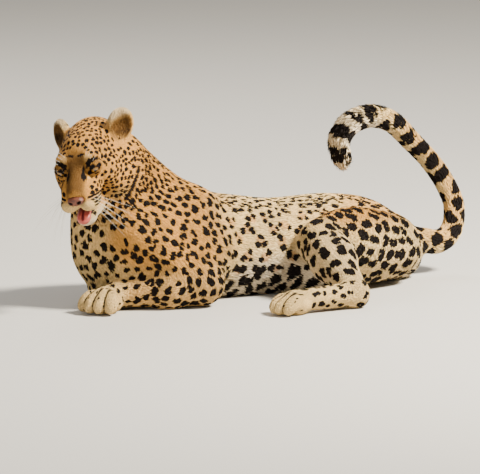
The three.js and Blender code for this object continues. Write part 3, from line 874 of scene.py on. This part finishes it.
def spot_rule(p, n, kinds):
    """A row of SPOTS for each point, blended from the parts and regions it belongs to."""
    kind = dict(zip(KINDS, kinds.T))
    x, _, z = p.T
    body = kind["trunk"]
    chest = (body + kind["neck"]) * ramp(-x, 400, 460) * ramp(-n[:, 0], 0.2, 0.7)
    f, _, u = in_head(p).T
    rule = kinds @ np.array([SPOTS[name] for name in KINDS])
    for amount, spots in (
        (body * ramp(x, -270, -200) * ramp(-x, -170, -110), FLANK_SPOTS),
        (body * ramp(z, 168, 195) * ramp(n[:, 2], 0.5, 0.8), BACK_SPOTS),
        (body * ramp(-z, -78, -56) * ramp(x, -330, -250), BELLY_SPOTS),
        (body * ramp(-x, 215, 280), SHOULDER_SPOTS),
        (body * ramp(x, 150, 200), RUMP_SPOTS),
        (chest * ramp(-z, -260, -200), CHEST_SPOTS),
        (kind["tail"] * ramp(along_tail(p), 0.45, 0.75), TAIL_END_SPOTS),
        (kind["forepaw"] * ramp(from_toes(p, FORELEGS), 52, 76), FOOT_SPOTS),
        (kind["hindpaw"] * ramp(from_toes(p, HINDLEGS), 58, 88), FOOT_SPOTS),
        (kind["head"] * ramp(-f, -30, 0) * ramp(u, 20, 45), CROWN_SPOTS),
    ):
        rule = rule * (1 - amount[:, None]) + np.array(spots) * amount[:, None]
    return rule


def from_toes(p, legs):
    """Distance back from the middle of the toes of the nearest of two feet."""
    return np.minimum(*(
        np.linalg.norm(p - mix(leg.foot.tips[1], leg.foot.tips[2], 0.5), axis=1) for leg in legs
    ))


def tree_of(points):
    tree = KDTree(len(points))
    for i, point in enumerate(points):
        tree.insert(point, i)
    tree.balance()
    return tree


def on_faces(faces):
    """A place on each of some quads of the skin, as the shares of its corners."""
    s, t = rng.random((2, len(faces), 1))
    return np.concatenate([(1 - s) * (1 - t), s * (1 - t), s * t, (1 - s) * t], 1)


def spread(values, faces, corner):
    return np.einsum("ij,ij...->i...", corner, values[skin_quads[faces]])


# Trial places even over the skin by area, then marks at those that no other mark is close to
SEED_TRIALS = 70000
even = (np.arange(SEED_TRIALS) + rng.random(SEED_TRIALS)) / SEED_TRIALS * quad_area.sum()
trial_faces = np.searchsorted(np.cumsum(quad_area), even).clip(0, len(quad_area) - 1)
trial_corner = on_faces(trial_faces)
trial = spread(skin_points, trial_faces, trial_corner)
trial_normal = unit(spread(skin_normals, trial_faces, trial_corner))
trial_way = spread(skin_way, trial_faces, trial_corner)
trial_rule = spot_rule(trial, trial_normal, spread(kind_share, trial_faces, trial_corner))
open_for = ~face_zone(trial)
trial_tree = tree_of(trial)
marks = []
for i in rng.permutation(SEED_TRIALS):
    if not open_for[i]:
        continue
    marks.append(i)
    for _, j, _ in trial_tree.find_range(trial[i], trial_rule[i, 0] * rng.uniform(0.85, 1.08)):
        if trial_normal[i] @ trial_normal[j] > CROWD_WAY:
            open_for[j] = False

# Each mark is one dab or a few, on a ring round its middle
dabs = []
for number, i in enumerate(marks):
    _, radius, length, ring, amount = trial_rule[i]
    middle, normal = trial[i], trial_normal[i]
    lie = tangent(trial_way[i][None], normal[None])[0]
    across = np.cross(normal, lie)
    dab_count = max(1, int(amount + rng.uniform(-0.1, 1.0)))
    start, scale = rng.uniform(0, math.tau), rng.uniform(0.82, 1.14)
    for k in range(dab_count):
        turn = start + (k + rng.uniform(-0.22, 0.22)) * math.tau / dab_count
        outward = lie * math.cos(turn) + across * math.sin(turn)
        step = ring * rng.uniform(0.8, 1.2) * (dab_count > 1)
        place = middle + outward * step
        _, j, _ = trial_tree.find(place)
        up = trial_normal[j] if trial_normal[j] @ normal > 0 else normal
        if up is not normal:
            place = place - up * ((place - trial[j]) @ up)
        bend = rng.normal(0, 0.3)
        lean = lie * math.cos(bend) + across * math.sin(bend)
        if ring > ROSETTE_RING:
            lean = np.cross(normal, outward)
        dabs.append((*place, *up, *lean, *middle, number,
                     radius * scale * rng.uniform(0.85, 1.15), ring, length))

# Each dab is a seed: the skin and tufts nearest to it take its place, size and direction. A
# dab stays short of half the way to the next mark's, and rings that are no rosette count as 0.
dabs = np.array(dabs)
seed_at, seed_normal, seed_lean, heart_at = dabs[:, :12].reshape(-1, 4, 3).transpose(1, 0, 2)
mark_of, seed_size, seed_ring, seed_length = dabs[:, 12:].T
seed_way = tangent(seed_lean, seed_normal)
seed_tree = tree_of(seed_at)
for i, place in enumerate(seed_at):
    for _, j, apart in seed_tree.find_n(place, NEXT_DABS):
        if mark_of[j] != mark_of[i] and seed_normal[j] @ seed_normal[i] > 0:
            seed_size[i] = min(seed_size[i], LARGEST_SHARE * apart)
            break
seed_ring = np.where(seed_ring > ROSETTE_RING, seed_ring, 0)
seed_spot = np.stack([seed_size * MM, seed_ring * MM, seed_length], 1)


def nearest_seed(points, normals):
    """The closest seed that faces the same way as the skin at each point."""
    found = np.array([
        [j for _, j, _ in seed_tree.find_n(p, NEXT_SEEDS)] for p in points.tolist()
    ])
    agrees = np.einsum("ikj,ij->ik", seed_normal[found], normals) > SAME_WAY
    return found[np.arange(len(found)), agrees.argmax(1)]


quad_seed = nearest_seed(
    skin_points[skin_quads].mean(1), unit(skin_normals[skin_quads].mean(1))
)


def store_seeds(mesh, seeds, domain="POINT"):
    for name, values in (("seed", placed(seed_at)), ("spot", seed_spot), ("way", seed_way),
                         ("heart", placed(heart_at))):
        store(mesh, name, values[seeds], domain=domain)


# ---- Materials ----
def srgb(*colour):
    shares = (v / 255 for v in colour)
    return (*(v / 12.92 if v < 0.04045 else ((v + 0.055) / 1.055) ** 2.4 for v in shares), 1.0)


class Recipe:
    """A material's nodes, written as sums."""

    def __init__(self, name, roughness, specular):
        self.material = bpy.data.materials.new(name)
        self.material.use_nodes = True
        self.tree = self.material.node_tree
        self.shader = self.tree.nodes["Principled BSDF"]
        self.shader.inputs["Roughness"].default_value = roughness
        self.shader.inputs["Specular IOR Level"].default_value = specular

    def put(self, socket, value):
        if isinstance(value, bpy.types.NodeSocket):
            self.tree.links.new(value, socket)
        else:
            socket.default_value = value

    def paint(self, colour):
        self.put(self.shader.inputs["Base Color"], colour)

    def where(self):
        return self.node("ShaderNodeTexCoord").outputs["Object"]

    def node(self, kind, **settings):
        node = self.tree.nodes.new(kind)
        for key, value in settings.items():
            setattr(node, key, value)
        return node

    def given(self, name, output="Vector"):
        return self.node("ShaderNodeAttribute", attribute_name=name).outputs[output]

    def filled(self, node, values):
        for socket, value in zip(node.inputs, values):
            self.put(socket, value)
        return node.outputs

    def sum(self, operation, *values, clamp=False):
        node = self.node("ShaderNodeMath", operation=operation, use_clamp=clamp)
        return self.filled(node, values)[0]

    def arrow(self, operation, *values, output="Vector"):
        node = self.node("ShaderNodeVectorMath", operation=operation)
        return self.filled(node, values)[output]

    def scaled(self, vector, amount):
        node = self.node("ShaderNodeVectorMath", operation="SCALE")
        self.put(node.inputs["Vector"], vector)
        self.put(node.inputs["Scale"], amount)
        return node.outputs["Vector"]

    def parts(self, vector):
        return self.filled(self.node("ShaderNodeSeparateXYZ"), [vector])

    def noise(self, vector, scale, detail, output="Fac"):
        node = self.node("ShaderNodeTexNoise")
        self.put(node.inputs["Vector"], vector)
        node.inputs["Scale"].default_value = scale
        node.inputs["Detail"].default_value = detail
        return node.outputs[output]

    def between(self, value, low, high, to_low=0.0, to_high=1.0):
        node = self.node("ShaderNodeMapRange", interpolation_type="SMOOTHSTEP")
        return self.filled(node, (value, low, high, to_low, to_high))[0]

    def mixed(self, amount, a, b, blend="MIX"):
        node = self.node("ShaderNodeMix", data_type="RGBA", blend_type=blend)
        self.put(node.inputs["Factor"], amount)
        self.put(node.inputs[6], a)
        self.put(node.inputs[7], b)
        return node.outputs[2]

    def bump(self, height, distance, strength):
        node = self.node("ShaderNodeBump")
        node.inputs["Distance"].default_value = distance
        node.inputs["Strength"].default_value = strength
        self.put(node.inputs["Height"], height)
        self.put(self.shader.inputs["Normal"], node.outputs[0])


GOLD = srgb(228, 165, 78)
CREAM = srgb(245, 212, 146)
WHITE = srgb(249, 231, 200)
TAWNY = srgb(216, 146, 74)
BRIDGE_BROWN_AND_SHADE = srgb(128, 90, 44)
SPOT_AND_SHADE_BLACK = srgb(19, 11, 8)


def coat_material(name):
    """Fur over its ground tones, with a dark dab round each seed whose edge wavers."""
    r = Recipe(name, 0.66, 0.15)
    root, luck = r.given("root"), r.given("luck", "Fac")
    sway = r.arrow("SUBTRACT", r.noise(root, 75, 1.0, "Color"), (0.5, 0.5, 0.5))
    fine = r.arrow("SUBTRACT", r.noise(root, 260, 1.0, "Color"), (0.5, 0.5, 0.5))
    off = r.arrow("ADD", r.scaled(sway, 0.015), r.scaled(fine, 0.004))
    radius, ring, length = r.parts(r.given("spot"))
    off = r.scaled(off, r.sum("MULTIPLY", radius, 120.0, clamp=True))
    from_seed = r.arrow("ADD", r.arrow("SUBTRACT", root, r.given("seed")), off)
    along = r.arrow("DOT_PRODUCT", from_seed, r.given("way"), output="Value")
    whole = r.arrow("LENGTH", from_seed, output="Value")
    across = r.sum("SUBTRACT", r.sum("POWER", whole, 2.0), r.sum("POWER", along, 2.0))
    across = r.sum("MULTIPLY", across, length)
    along = r.sum("DIVIDE", r.sum("POWER", along, 2.0), length)
    apart = r.sum("DIVIDE", r.sum("SQRT", r.sum("ADD", across, along)), radius)
    spot = r.between(apart, 0.94, 1.12, 1.0, 0.0)
    from_heart = r.arrow("SUBTRACT", root, r.given("heart"))
    heart = r.sum("DIVIDE", r.arrow("LENGTH", from_heart, output="Value"),
                  r.sum("ADD", ring, 0.00001))
    heart = r.between(heart, 0.75, 1.3, 1.0, 0.0)
    pale, brown, ink = r.parts(r.given("tone"))
    base = r.mixed(r.between(pale, 0.0, 0.5), GOLD, CREAM)
    base = r.mixed(r.between(pale, 0.45, 1.0), base, WHITE)
    base = r.mixed(r.sum("MULTIPLY", heart, 0.5), base, TAWNY)
    # The brown is the nose bridge's own colour and painted shade round the eyes and in the ear
    # cups.
    base = r.mixed(brown, base, BRIDGE_BROWN_AND_SHADE)
    patchy = r.between(r.noise(root, 16, 3.0), 0.3, 0.7, 0.84, 1.08)
    fleck = r.between(luck, 0.0, 1.0, 0.84, 1.12)
    # Darker roots are painted shade of the hair lying over them; lighter tips are the hair's own
    # paler ends.
    tip = r.between(r.given("tip", "Fac"), 0.0, 1.0, 0.88, 1.1)
    strand = r.sum("ADD", r.sum("MULTIPLY", r.given("across", "Fac"), 20.0),
                   r.sum("MULTIPLY", luck, 50.0))
    strand = r.sum("SINE", strand)
    hairs = r.between(strand, -1.0, 1.0, 0.84, 1.06)
    # Random patches and flecks of tone, with the painted shade at the roots.
    tone_and_root_shade = r.sum("MULTIPLY", r.sum("MULTIPLY", patchy, fleck), r.sum("MULTIPLY", tip, hairs))
    grey = r.node("ShaderNodeCombineColor")
    for socket in grey.inputs[:3]:
        r.put(socket, tone_and_root_shade)
    base = r.mixed(1.0, base, grey.outputs[0], "MULTIPLY")
    # The black covers the spots and face marks, and painted shade between the toes and deep in the
    # ear cups.
    dark = r.sum("MAXIMUM", spot, ink)
    dark = r.between(r.sum("ADD", dark, r.sum("MULTIPLY", luck, 0.16)), 0.42, 0.72)
    r.paint(r.mixed(dark, base, SPOT_AND_SHADE_BLACK))
    grain = r.noise(r.where(), 900, 3.0)
    r.bump(r.sum("ADD", grain, r.sum("MULTIPLY", strand, 0.16)), 0.0012, 0.6)
    return r.material


coat = coat_material("short spotted coat")
paw_coat = coat_material("short paw coat")

# ---- The skin ----
skin_piece = make_piece("skin", skin_points, [skin_quads], "coat")
skin_mesh = skin_piece.data
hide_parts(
    "torso", "neck", "head", "tail_root", "tail_rise", "tail_bend", "tail_tip",
    "ear_left", "ear_right", *(
        f"{limb}_{side}" for limb in ("foreleg", "forepaw", "hindleg", "hindpaw")
        for side in ("left", "right")
    ),
)
store(skin_mesh, "root", placed(skin_points))
store(skin_mesh, "tone", skin_tone)
for name, value in (("luck", 0.5), ("tip", 0.2), ("across", 0.25)):
    store(skin_mesh, name, np.full(len(skin_points), value), "FLOAT")
store_seeds(skin_mesh, quad_seed, "FACE")
skin_mesh.materials.append(coat)

bpy.ops.object.select_all(action="DESELECT")
bpy.context.view_layer.objects.active = skin_piece
skin_piece.select_set(True)
skin_mesh.uv_layers.new(name="OFBake")
bpy.ops.object.mode_set(mode="EDIT")
bpy.ops.mesh.select_all(action="SELECT")
bpy.ops.uv.smart_project(angle_limit=math.radians(66), island_margin=0.001)
bpy.ops.object.mode_set(mode="OBJECT")
skin_piece.select_set(False)
uv_flat = np.zeros(len(skin_mesh.loops) * 2, np.float32)
skin_mesh.uv_layers["OFBake"].uv.foreach_get("vector", uv_flat)
quad_uv = uv_flat.reshape(-1, 4, 2)

# ---- Tufts of the coat ----
# Length, breadth, how far the tip stands off, and the skin's area for one tuft
COATS = {
    "trunk": (12, 2.5, 2.4, 11.2),
    "neck": (10.5, 2.2, 2.3, 9.0),
    "head": (5.6, 1.3, 1.0, 3.3),
    "ear": (6.0, 1.3, 1.2, 3.8),
    "arm": (10, 2.2, 2.0, 9.2),
    "forearm": (8.5, 2.0, 1.6, 8.0),
    "forepaw": (5.0, 1.5, 0.8, 4.9),
    "thigh": (10, 2.3, 2.0, 9.8),
    "shin": (8.5, 2.0, 1.6, 8.4),
    "hindpaw": (5.0, 1.5, 0.8, 5.6),
    "tail": (14, 2.4, 3.0, 8.8),
}
BELLY_COAT = (3, 0, 2.0, 0)
CHEEK_COAT = (3.6, 0.6, 1.2, 1.4)
EAR_FLUFF = (3, 0.1, 1.4, 0)
TAIL_END_COAT = (13, 0.9, 8, 0)
LOWEST_HAIR = 0.2
TUFT_PATCH = 0.003  # breadth of a tuft's own patch on the map OFBake
TUFTS_IN_PIECE = 19500


def coat_rule(p, kinds):
    """A row of COATS for each point, with more where the coat is longer."""
    kind = dict(zip(KINDS, kinds.T))
    f, _, u = in_head(p).T
    rule = kinds @ np.array([COATS[name] for name in KINDS])
    for amount, more in (
        (kind["trunk"] * ramp(-p[:, 2], -80, -30), BELLY_COAT),
        (kind["head"] * ramp(-f, -50, 0) * ramp(-u, 0, 50), CHEEK_COAT),
        *((kind["ear"] * ramp(-ear["cup"](p), -5, -1) * (ear["shell"](p) < 8), EAR_FLUFF)
          for ear in EARS),
        (kind["tail"] * ramp(along_tail(p), 0.5, 0.9), TAIL_END_COAT),
    ):
        rule += amount[:, None] * more
    return rule


vertex_coat = coat_rule(skin_points, kind_share)
wanted = quad_area / vertex_coat[skin_quads, 3].mean(1)
steps = np.floor(np.cumsum(wanted) + rng.random())
tuft_faces = np.repeat(np.arange(len(skin_quads)), np.diff(steps, prepend=0).astype(int))
tuft_corner = on_faces(tuft_faces)
roots = spread(skin_points, tuft_faces, tuft_corner)
bare = (eyeballs(roots) < 3.6) & (eye_slits(roots) < 2.2)
bare |= (mouth_gap(roots) < 2.4) | (nose_pad(roots) < 1.6) | (cleft(roots) < 0.8)
bare |= roots[:, 2] < FLOOR + 0.5
tuft_faces, tuft_corner, roots = tuft_faces[~bare], tuft_corner[~bare], roots[~bare]
count = len(roots)
rise = unit(spread(skin_normals, tuft_faces, tuft_corner))
kinds_here = spread(kind_share, tuft_faces, tuft_corner)
size = spread(vertex_coat, tuft_faces, tuft_corner)
size[:, :3] *= rng.uniform(0.75, 1.25, (count, 1))
turn = rng.normal(0, 0.2, (count, 1))
way = tangent(spread(skin_way, tuft_faces, tuft_corner), rise)
way = way * np.cos(turn) + np.cross(rise, way) * np.sin(turn)
breadth = np.cross(rise, way)


def hugging(points, height):
    """Points moved along their roots' normals to a height over the skin."""
    off = np.clip(height - in_parts(skin, points.astype(np.float32)), -6, 6)
    return points + rise * off[:, None]


long, wide, off = size[:, :1], size[:, 1:2], size[:, 2]
middle = hugging(roots + way * long * 0.5 + breadth * rng.normal(0, 0.04, (count, 1)) * long,
                 0.45 * off)
point = hugging(roots + way * long, off)

# A tuft is a closed blade: three points at its root, three at its middle and one at its tip
tuft_points = np.stack([
    roots + breadth * wide * 0.42 - rise * 0.5,
    roots + rise * wide * 0.25,
    roots - breadth * wide * 0.42 - rise * 0.5,
    middle + breadth * wide * 0.5 - rise * 0.15,
    middle + rise * wide * 0.32,
    middle - breadth * wide * 0.5 - rise * 0.15,
    point,
], 1)
tuft_points[..., 2] = np.maximum(tuft_points[..., 2], LOWEST_HAIR)
TUFT_QUADS = np.array([[0, 1, 4, 3], [1, 2, 5, 4], [2, 0, 3, 5]])
TUFT_TRIANGLES = np.array([[3, 4, 6], [4, 5, 6], [5, 3, 6], [0, 2, 1]])
TUFT_SPREAD = np.array([[0, 0.2], [0, 0.5], [0, 0.8], [0.5, 0.1], [0.5, 0.5], [0.5, 0.9],
                        [1, 0.5]]) - 0.5
TIPNESS = [0, 0.1, 0, 0.5, 0.6, 0.5, 1]
ACROSS = [0, 0.5, 1, 0, 0.5, 1, 0.5]
TUFT_SIZE = len(TIPNESS)
tuft_uv = np.einsum("ij,ijk->ik", tuft_corner, quad_uv[tuft_faces])

# A tuft takes its marks partly where it grows and partly where it shows past its neighbours
OWN_PLACE = 0.55
shown = (middle + point) / 2 - rise * off[:, None] * 0.7
marked_at = np.stack([roots] * 3 + [middle] * 3 + [point], 1) * OWN_PLACE
marked_at += shown[:, None] * (1 - OWN_PLACE)
tuft_tone = ground(shown, rise, kinds_here)
tuft_luck = rng.random(count)
seed_of = nearest_seed(shown, rise)
kind_of = np.array(KINDS)[kinds_here.argmax(1)]
for group, members in (
    ("face", ("head", "ear")), ("neck", ("neck",)), ("body", ("trunk",)),
    ("legs", ("arm", "forearm", "thigh", "shin")), ("paws", ("forepaw", "hindpaw")),
    ("tail", ("tail",)),
):
    mine = np.flatnonzero(np.isin(kind_of, members))
    slot, material = ("paws", paw_coat) if group == "paws" else ("coat", coat)
    for part, some in enumerate(np.array_split(mine, max(1, -(-len(mine) // TUFTS_IN_PIECE)))):
        base = (np.arange(len(some)) * TUFT_SIZE)[:, None, None]
        runs = [(base + TUFT_QUADS).reshape(-1, 4), (base + TUFT_TRIANGLES).reshape(-1, 3)]
        piece = make_piece(
            f"{group}_tufts_{part + 1}", tuft_points[some].reshape(-1, 3), runs, slot)
        mesh = piece.data
        each = np.repeat(some, TUFT_SIZE)
        store(mesh, "root", placed(marked_at[some].reshape(-1, 3)))
        store_seeds(mesh, seed_of[each])
        store(mesh, "tone", tuft_tone[each])
        store(mesh, "luck", tuft_luck[each], "FLOAT")
        store(mesh, "tip", np.tile(TIPNESS, len(some)), "FLOAT")
        store(mesh, "across", np.tile(ACROSS, len(some)), "FLOAT")
        uv = tuft_uv[some][:, None] + TUFT_SPREAD * TUFT_PATCH
        corners = np.concatenate([run.ravel() for run in runs])
        layer = mesh.uv_layers.new(name="OFBake")
        layer.uv.foreach_set("vector", uv.reshape(-1, 2)[corners].astype(np.float32).ravel())
        mesh.materials.append(material)

# ---- Eyes ----
GAZE = unit(np.array(HEAD.f) * 0.95 - np.array(HEAD.u) * 0.3)
IRIS_EDGE, PUPIL_EDGE = 0.66, 0.2
CORNEA_SWELL = 0.06


def eye_material():
    r = Recipe("wet amber eye", 0.06, 0.6)
    ring = r.given("ring", "Fac")
    streak = r.noise(r.where(), 1400, 3.0)
    iris = r.mixed(r.between(ring, PUPIL_EDGE, IRIS_EDGE), srgb(150, 112, 44), srgb(96, 62, 24))
    iris = r.mixed(r.between(streak, 0.35, 0.65, 0.0, 0.5), iris, srgb(96, 62, 20))
    rim = r.mixed(r.between(ring, IRIS_EDGE - 0.08, IRIS_EDGE), iris, srgb(26, 17, 12))
    pupil = r.mixed(r.between(ring, PUPIL_EDGE - 0.03, PUPIL_EDGE + 0.01), srgb(6, 5, 5), rim)
    r.paint(pupil)
    r.shader.inputs["Coat Weight"].default_value = 0.4
    r.shader.inputs["Coat Roughness"].default_value = 0.02
    return r.material


amber = eye_material()
for side, name in ((1, "left"), (-1, "right")):
    centre = placed(eye_at(side))
    gaze = unit(GAZE + HEAD.l * side * 0.3)
    bpy.ops.mesh.primitive_uv_sphere_add(
        segments=40, ring_count=36, radius=(EYE_RADIUS - 0.1) * MM, location=centre,
        rotation=Vector(gaze).to_track_quat("Z", "Y").to_euler(),
    )
    eye = bpy.context.object
    eye.name = f"eyeball_{name}"
    bpy.ops.object.transform_apply(location=True, rotation=True, scale=True)
    mesh = eye.data
    co = np.zeros(len(mesh.vertices) * 3, np.float32)
    mesh.vertices.foreach_get("co", co)
    from_centre = co.reshape(-1, 3) - centre
    ring = np.arccos(np.clip(unit(from_centre) @ gaze, -1, 1))
    swell = 1 + CORNEA_SWELL * ramp(-ring, -0.75, -0.1)
    mesh.vertices.foreach_set("co", (centre + from_centre * swell[:, None]).ravel())
    store(mesh, "ring", ring, "FLOAT")
    bpy.ops.object.shade_smooth()
    mesh.materials.append(amber)
    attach(eye, "root")
    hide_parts(f"eye_{name}")
    eye.select_set(False)


# ---- Nose leather and tongue ----
def leather_material():
    r = Recipe("nose leather", 0.42, 0.5)
    where = r.where()
    mottled = r.between(r.noise(where, 260, 3.0), 0.35, 0.65)
    base = r.mixed(mottled, srgb(122, 66, 46), srgb(86, 46, 34))
    # Near black where the nostrils are is painted shade of their openings.
    r.paint(r.mixed(r.given("deep", "Fac"), base, srgb(24, 13, 11)))
    cells = r.node("ShaderNodeTexVoronoi")
    r.put(cells.inputs["Vector"], where)
    cells.inputs["Scale"].default_value = 1100
    r.bump(cells.outputs["Distance"], 0.0005, 0.7)
    return r.material


def tongue_material():
    r = Recipe("wet tongue", 0.28, 0.5)
    where = r.where()
    mottled = r.between(r.noise(where, 130, 3.0), 0.3, 0.7)
    base = r.mixed(mottled, srgb(196, 96, 82), srgb(170, 70, 62))
    # Darker red along the middle is painted shade in the tongue's groove.
    r.paint(r.mixed(r.given("deep", "Fac"), base, srgb(120, 46, 48)))
    r.shader.inputs["Subsurface Weight"].default_value = 0.15
    r.shader.inputs["Subsurface Radius"].default_value = (0.004, 0.0015, 0.001)
    r.bump(r.noise(where, 1500, 2.0), 0.0006, 0.6)
    return r.material


def local_net(field, middle, half, cell):
    low, high = middle - np.array(half), middle + np.array(half)
    return surface_net(field, *(spaced(a, (b, cell)) for a, b in zip(low, high)), step=3)


nostrils = flesh(
    *both(lambda s: head_egg((155, s * 9.5, -24.5), (9, 4.6, 3.0), 1, (s * 20, 0, s * 26))),
    *both(lambda s: head_egg((148, s * 16, -28), (9, 6.5, 1.3), 1, (s * 34, 0, s * 20))),
)
nose_groove = head_bone((162, 0, -14), (152, 0, -36), 1.0, 1.4)[0]
TONGUE_LINE = ((96, 0, -50), (138, 1, -68))
tongue_body = flesh(
    face_egg((112, 0, -63), (32, 15.5, 6.6), 1, (0, -20, 0)),
    head_egg((127, 1, -71), (13, 12.5, 7), 10, (0, -34, 0)),
)
tongue_groove = head_bone(*TONGUE_LINE, 0.8, 1.6)[0]
# A line along the tongue's groove, which the tongue's painted shade follows.
tongue_groove_shade = head_bone(*TONGUE_LINE, 0.5, 1.0)[0]


def nose(p):
    d = carve(nose_pad(p) + 0.1, nostrils(p), 2)
    return carve(d, nose_groove(p), 2.5)


def tongue(p):
    return carve(tongue_body(p), tongue_groove(p), 5)


for name, slot, field, middle, half, cell, deep, material in (
    ("nose_leather", "nose", nose, (145, 0, -24), (30, 30, 28), 1.25, nostrils,
     leather_material),
    ("tongue_flesh", "tongue", tongue, (116, 0, -66), (48, 40, 34), 1.7,
     lambda p: tongue_groove_shade(p) - 1.5, tongue_material),
):
    points, quads = local_net(field, head_point(*middle), half, cell)
    piece = make_piece(name, points, [quads], slot)
    # The deep value is painted shade: in the nostrils' openings and along the tongue's groove.
    store(piece.data, "deep", ramp(-deep(points), -1.6, 0.4), "FLOAT")
    piece.data.materials.append(material())
    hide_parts(slot)

# ---- Whiskers and brow hairs ----
HAIR_SIDES = 5
HAIR_STEPS = 9
HAIR_RADIUS = 0.4


def hair_line(start, out, droop, length):
    t = np.linspace(0, 1, HAIR_STEPS + 1)[:, None]
    return start + length * (t * unit(out) + t**2 * np.asarray(droop))


def hair_mesh(lines):
    """Closed tapering rods along lines."""
    points, quads, caps = [], [], []
    for line in lines:
        run = unit(np.gradient(line, axis=0))
        side = unit(np.cross(run, UP + 0.1 * AHEAD))
        top = np.cross(side, run)
        base = len(points)
        for i, (middle, s, t) in enumerate(zip(line, side, top)):
            r = HAIR_RADIUS * (1 - 0.8 * i / HAIR_STEPS)
            for k in range(HAIR_SIDES):
                turn = math.tau * k / HAIR_SIDES
                points.append(middle + (s * math.cos(turn) + t * math.sin(turn)) * r)
        for i in range(HAIR_STEPS):
            for k in range(HAIR_SIDES):
                a, b = base + i * HAIR_SIDES + k, base + i * HAIR_SIDES + (k + 1) % HAIR_SIDES
                quads.append((a, a + HAIR_SIDES, b + HAIR_SIDES, b))
        last = base + HAIR_STEPS * HAIR_SIDES
        caps.append(tuple(range(base, base + HAIR_SIDES)))
        caps.append(tuple(range(last + HAIR_SIDES - 1, last - 1, -1)))
    return np.array(points), [np.array(quads), np.array(caps)]


def head_way(f, l, u):
    return HEAD.f * f + HEAD.l * l + HEAD.u * u


WHISKERS_IN_ROW = {1: 2, -1: 3}
whisker_lines = []
for side in (1, -1):
    for row, u in enumerate(WHISKER_ROWS):
        for k in range(WHISKERS_IN_ROW[side]):
            f = 130 - 9 * k - 2 * row
            start = head_point(f, side * (34 - 2 * row * (row > 1) - 0.35 * (f - 118)), u)
            clear = max(0.0, float(skin(np.array([start], np.float32))[0]))
            outward = unit(start - head_point(f - 4, 0, u))
            start = start - outward * clear - HEAD.l * side
            out = head_way(0.22 - 0.16 * k, side * 0.8, -0.35 - 0.2 * row)
            droop = head_way(-0.36 - 0.06 * k, 0, -0.3 - 0.05 * row + rng.normal(0, 0.03))
            whisker_lines.append(hair_line(start, out, droop, rng.uniform(72, 112) - 6 * row))
    for k in range(4):
        start = head_point(80 + 3 * k, side * (22 + 5 * k), 44 - 3 * k)
        out = head_way(0.5, side * 0.4, 0.9 - 0.1 * k)
        whisker_lines.append(hair_line(start, out, head_way(-0.3, side * 0.1, -0.1), 46 - 5 * k))
whiskers = make_piece("whiskers", *hair_mesh(whisker_lines), "coat")


def whisker_material():
    r = Recipe("white whisker", 0.35, 0.5)
    tint = r.between(r.noise(r.where(), 60, 2.0), 0.3, 0.7)
    r.paint(r.mixed(tint, srgb(246, 243, 235), srgb(222, 214, 198)))
    return r.material


whiskers.data.materials.append(whisker_material())

# ---- Camera and light ----
AIM = Vector((0.0099, 0.1326, 0.1104))
TOWARD_CAMERA = Vector((-0.4938, -0.8554, 0.1564))
CAMERA_DISTANCE = 48.0

lens = bpy.data.cameras.new("camera")
lens.lens = 1600
lens.sensor_width = 36
lens.clip_start = 0.1
lens.clip_end = 200
camera = bpy.data.objects.new("camera", lens)
camera.location = AIM + TOWARD_CAMERA * CAMERA_DISTANCE
camera.rotation_euler = (-TOWARD_CAMERA).to_track_quat("-Z", "Y").to_euler()
bpy.context.collection.objects.link(camera)
bpy.context.scene.camera = camera


def soft_light(name, place, size, power, colour):
    light = bpy.data.lights.new(name, "AREA")
    light.size = size
    light.energy = power
    light.color = colour
    lamp = bpy.data.objects.new(name, light)
    lamp.location = place
    lamp.rotation_euler = (AIM - lamp.location).to_track_quat("-Z", "Y").to_euler()
    bpy.context.collection.objects.link(lamp)


soft_light("key", Vector((1.7, -2.0, 3.0)), 0.8, 610, (1.0, 0.93, 0.8))
soft_light("fill", Vector((-3.2, -1.6, 1.4)), 2.4, 48, (1.0, 0.97, 0.93))
soft_light("back", Vector((0.9, 2.8, 2.6)), 1.8, 70, (1.0, 0.96, 0.9))

world = bpy.data.worlds.new("studio")
world.use_nodes = True
background = world.node_tree.nodes["Background"].inputs
background["Color"].default_value = (0.9, 0.88, 0.85, 1)
background["Strength"].default_value = 0.3
bpy.context.scene.world = world

bpy.ops.mesh.primitive_plane_add(size=60, location=(0, 0, 0))
floor = bpy.context.object
floor.name = "floor"
floor_paint = Recipe("pale studio floor", 0.8, 0.3)
floor_paint.paint(srgb(202, 199, 193))
floor.data.materials.append(floor_paint.material)
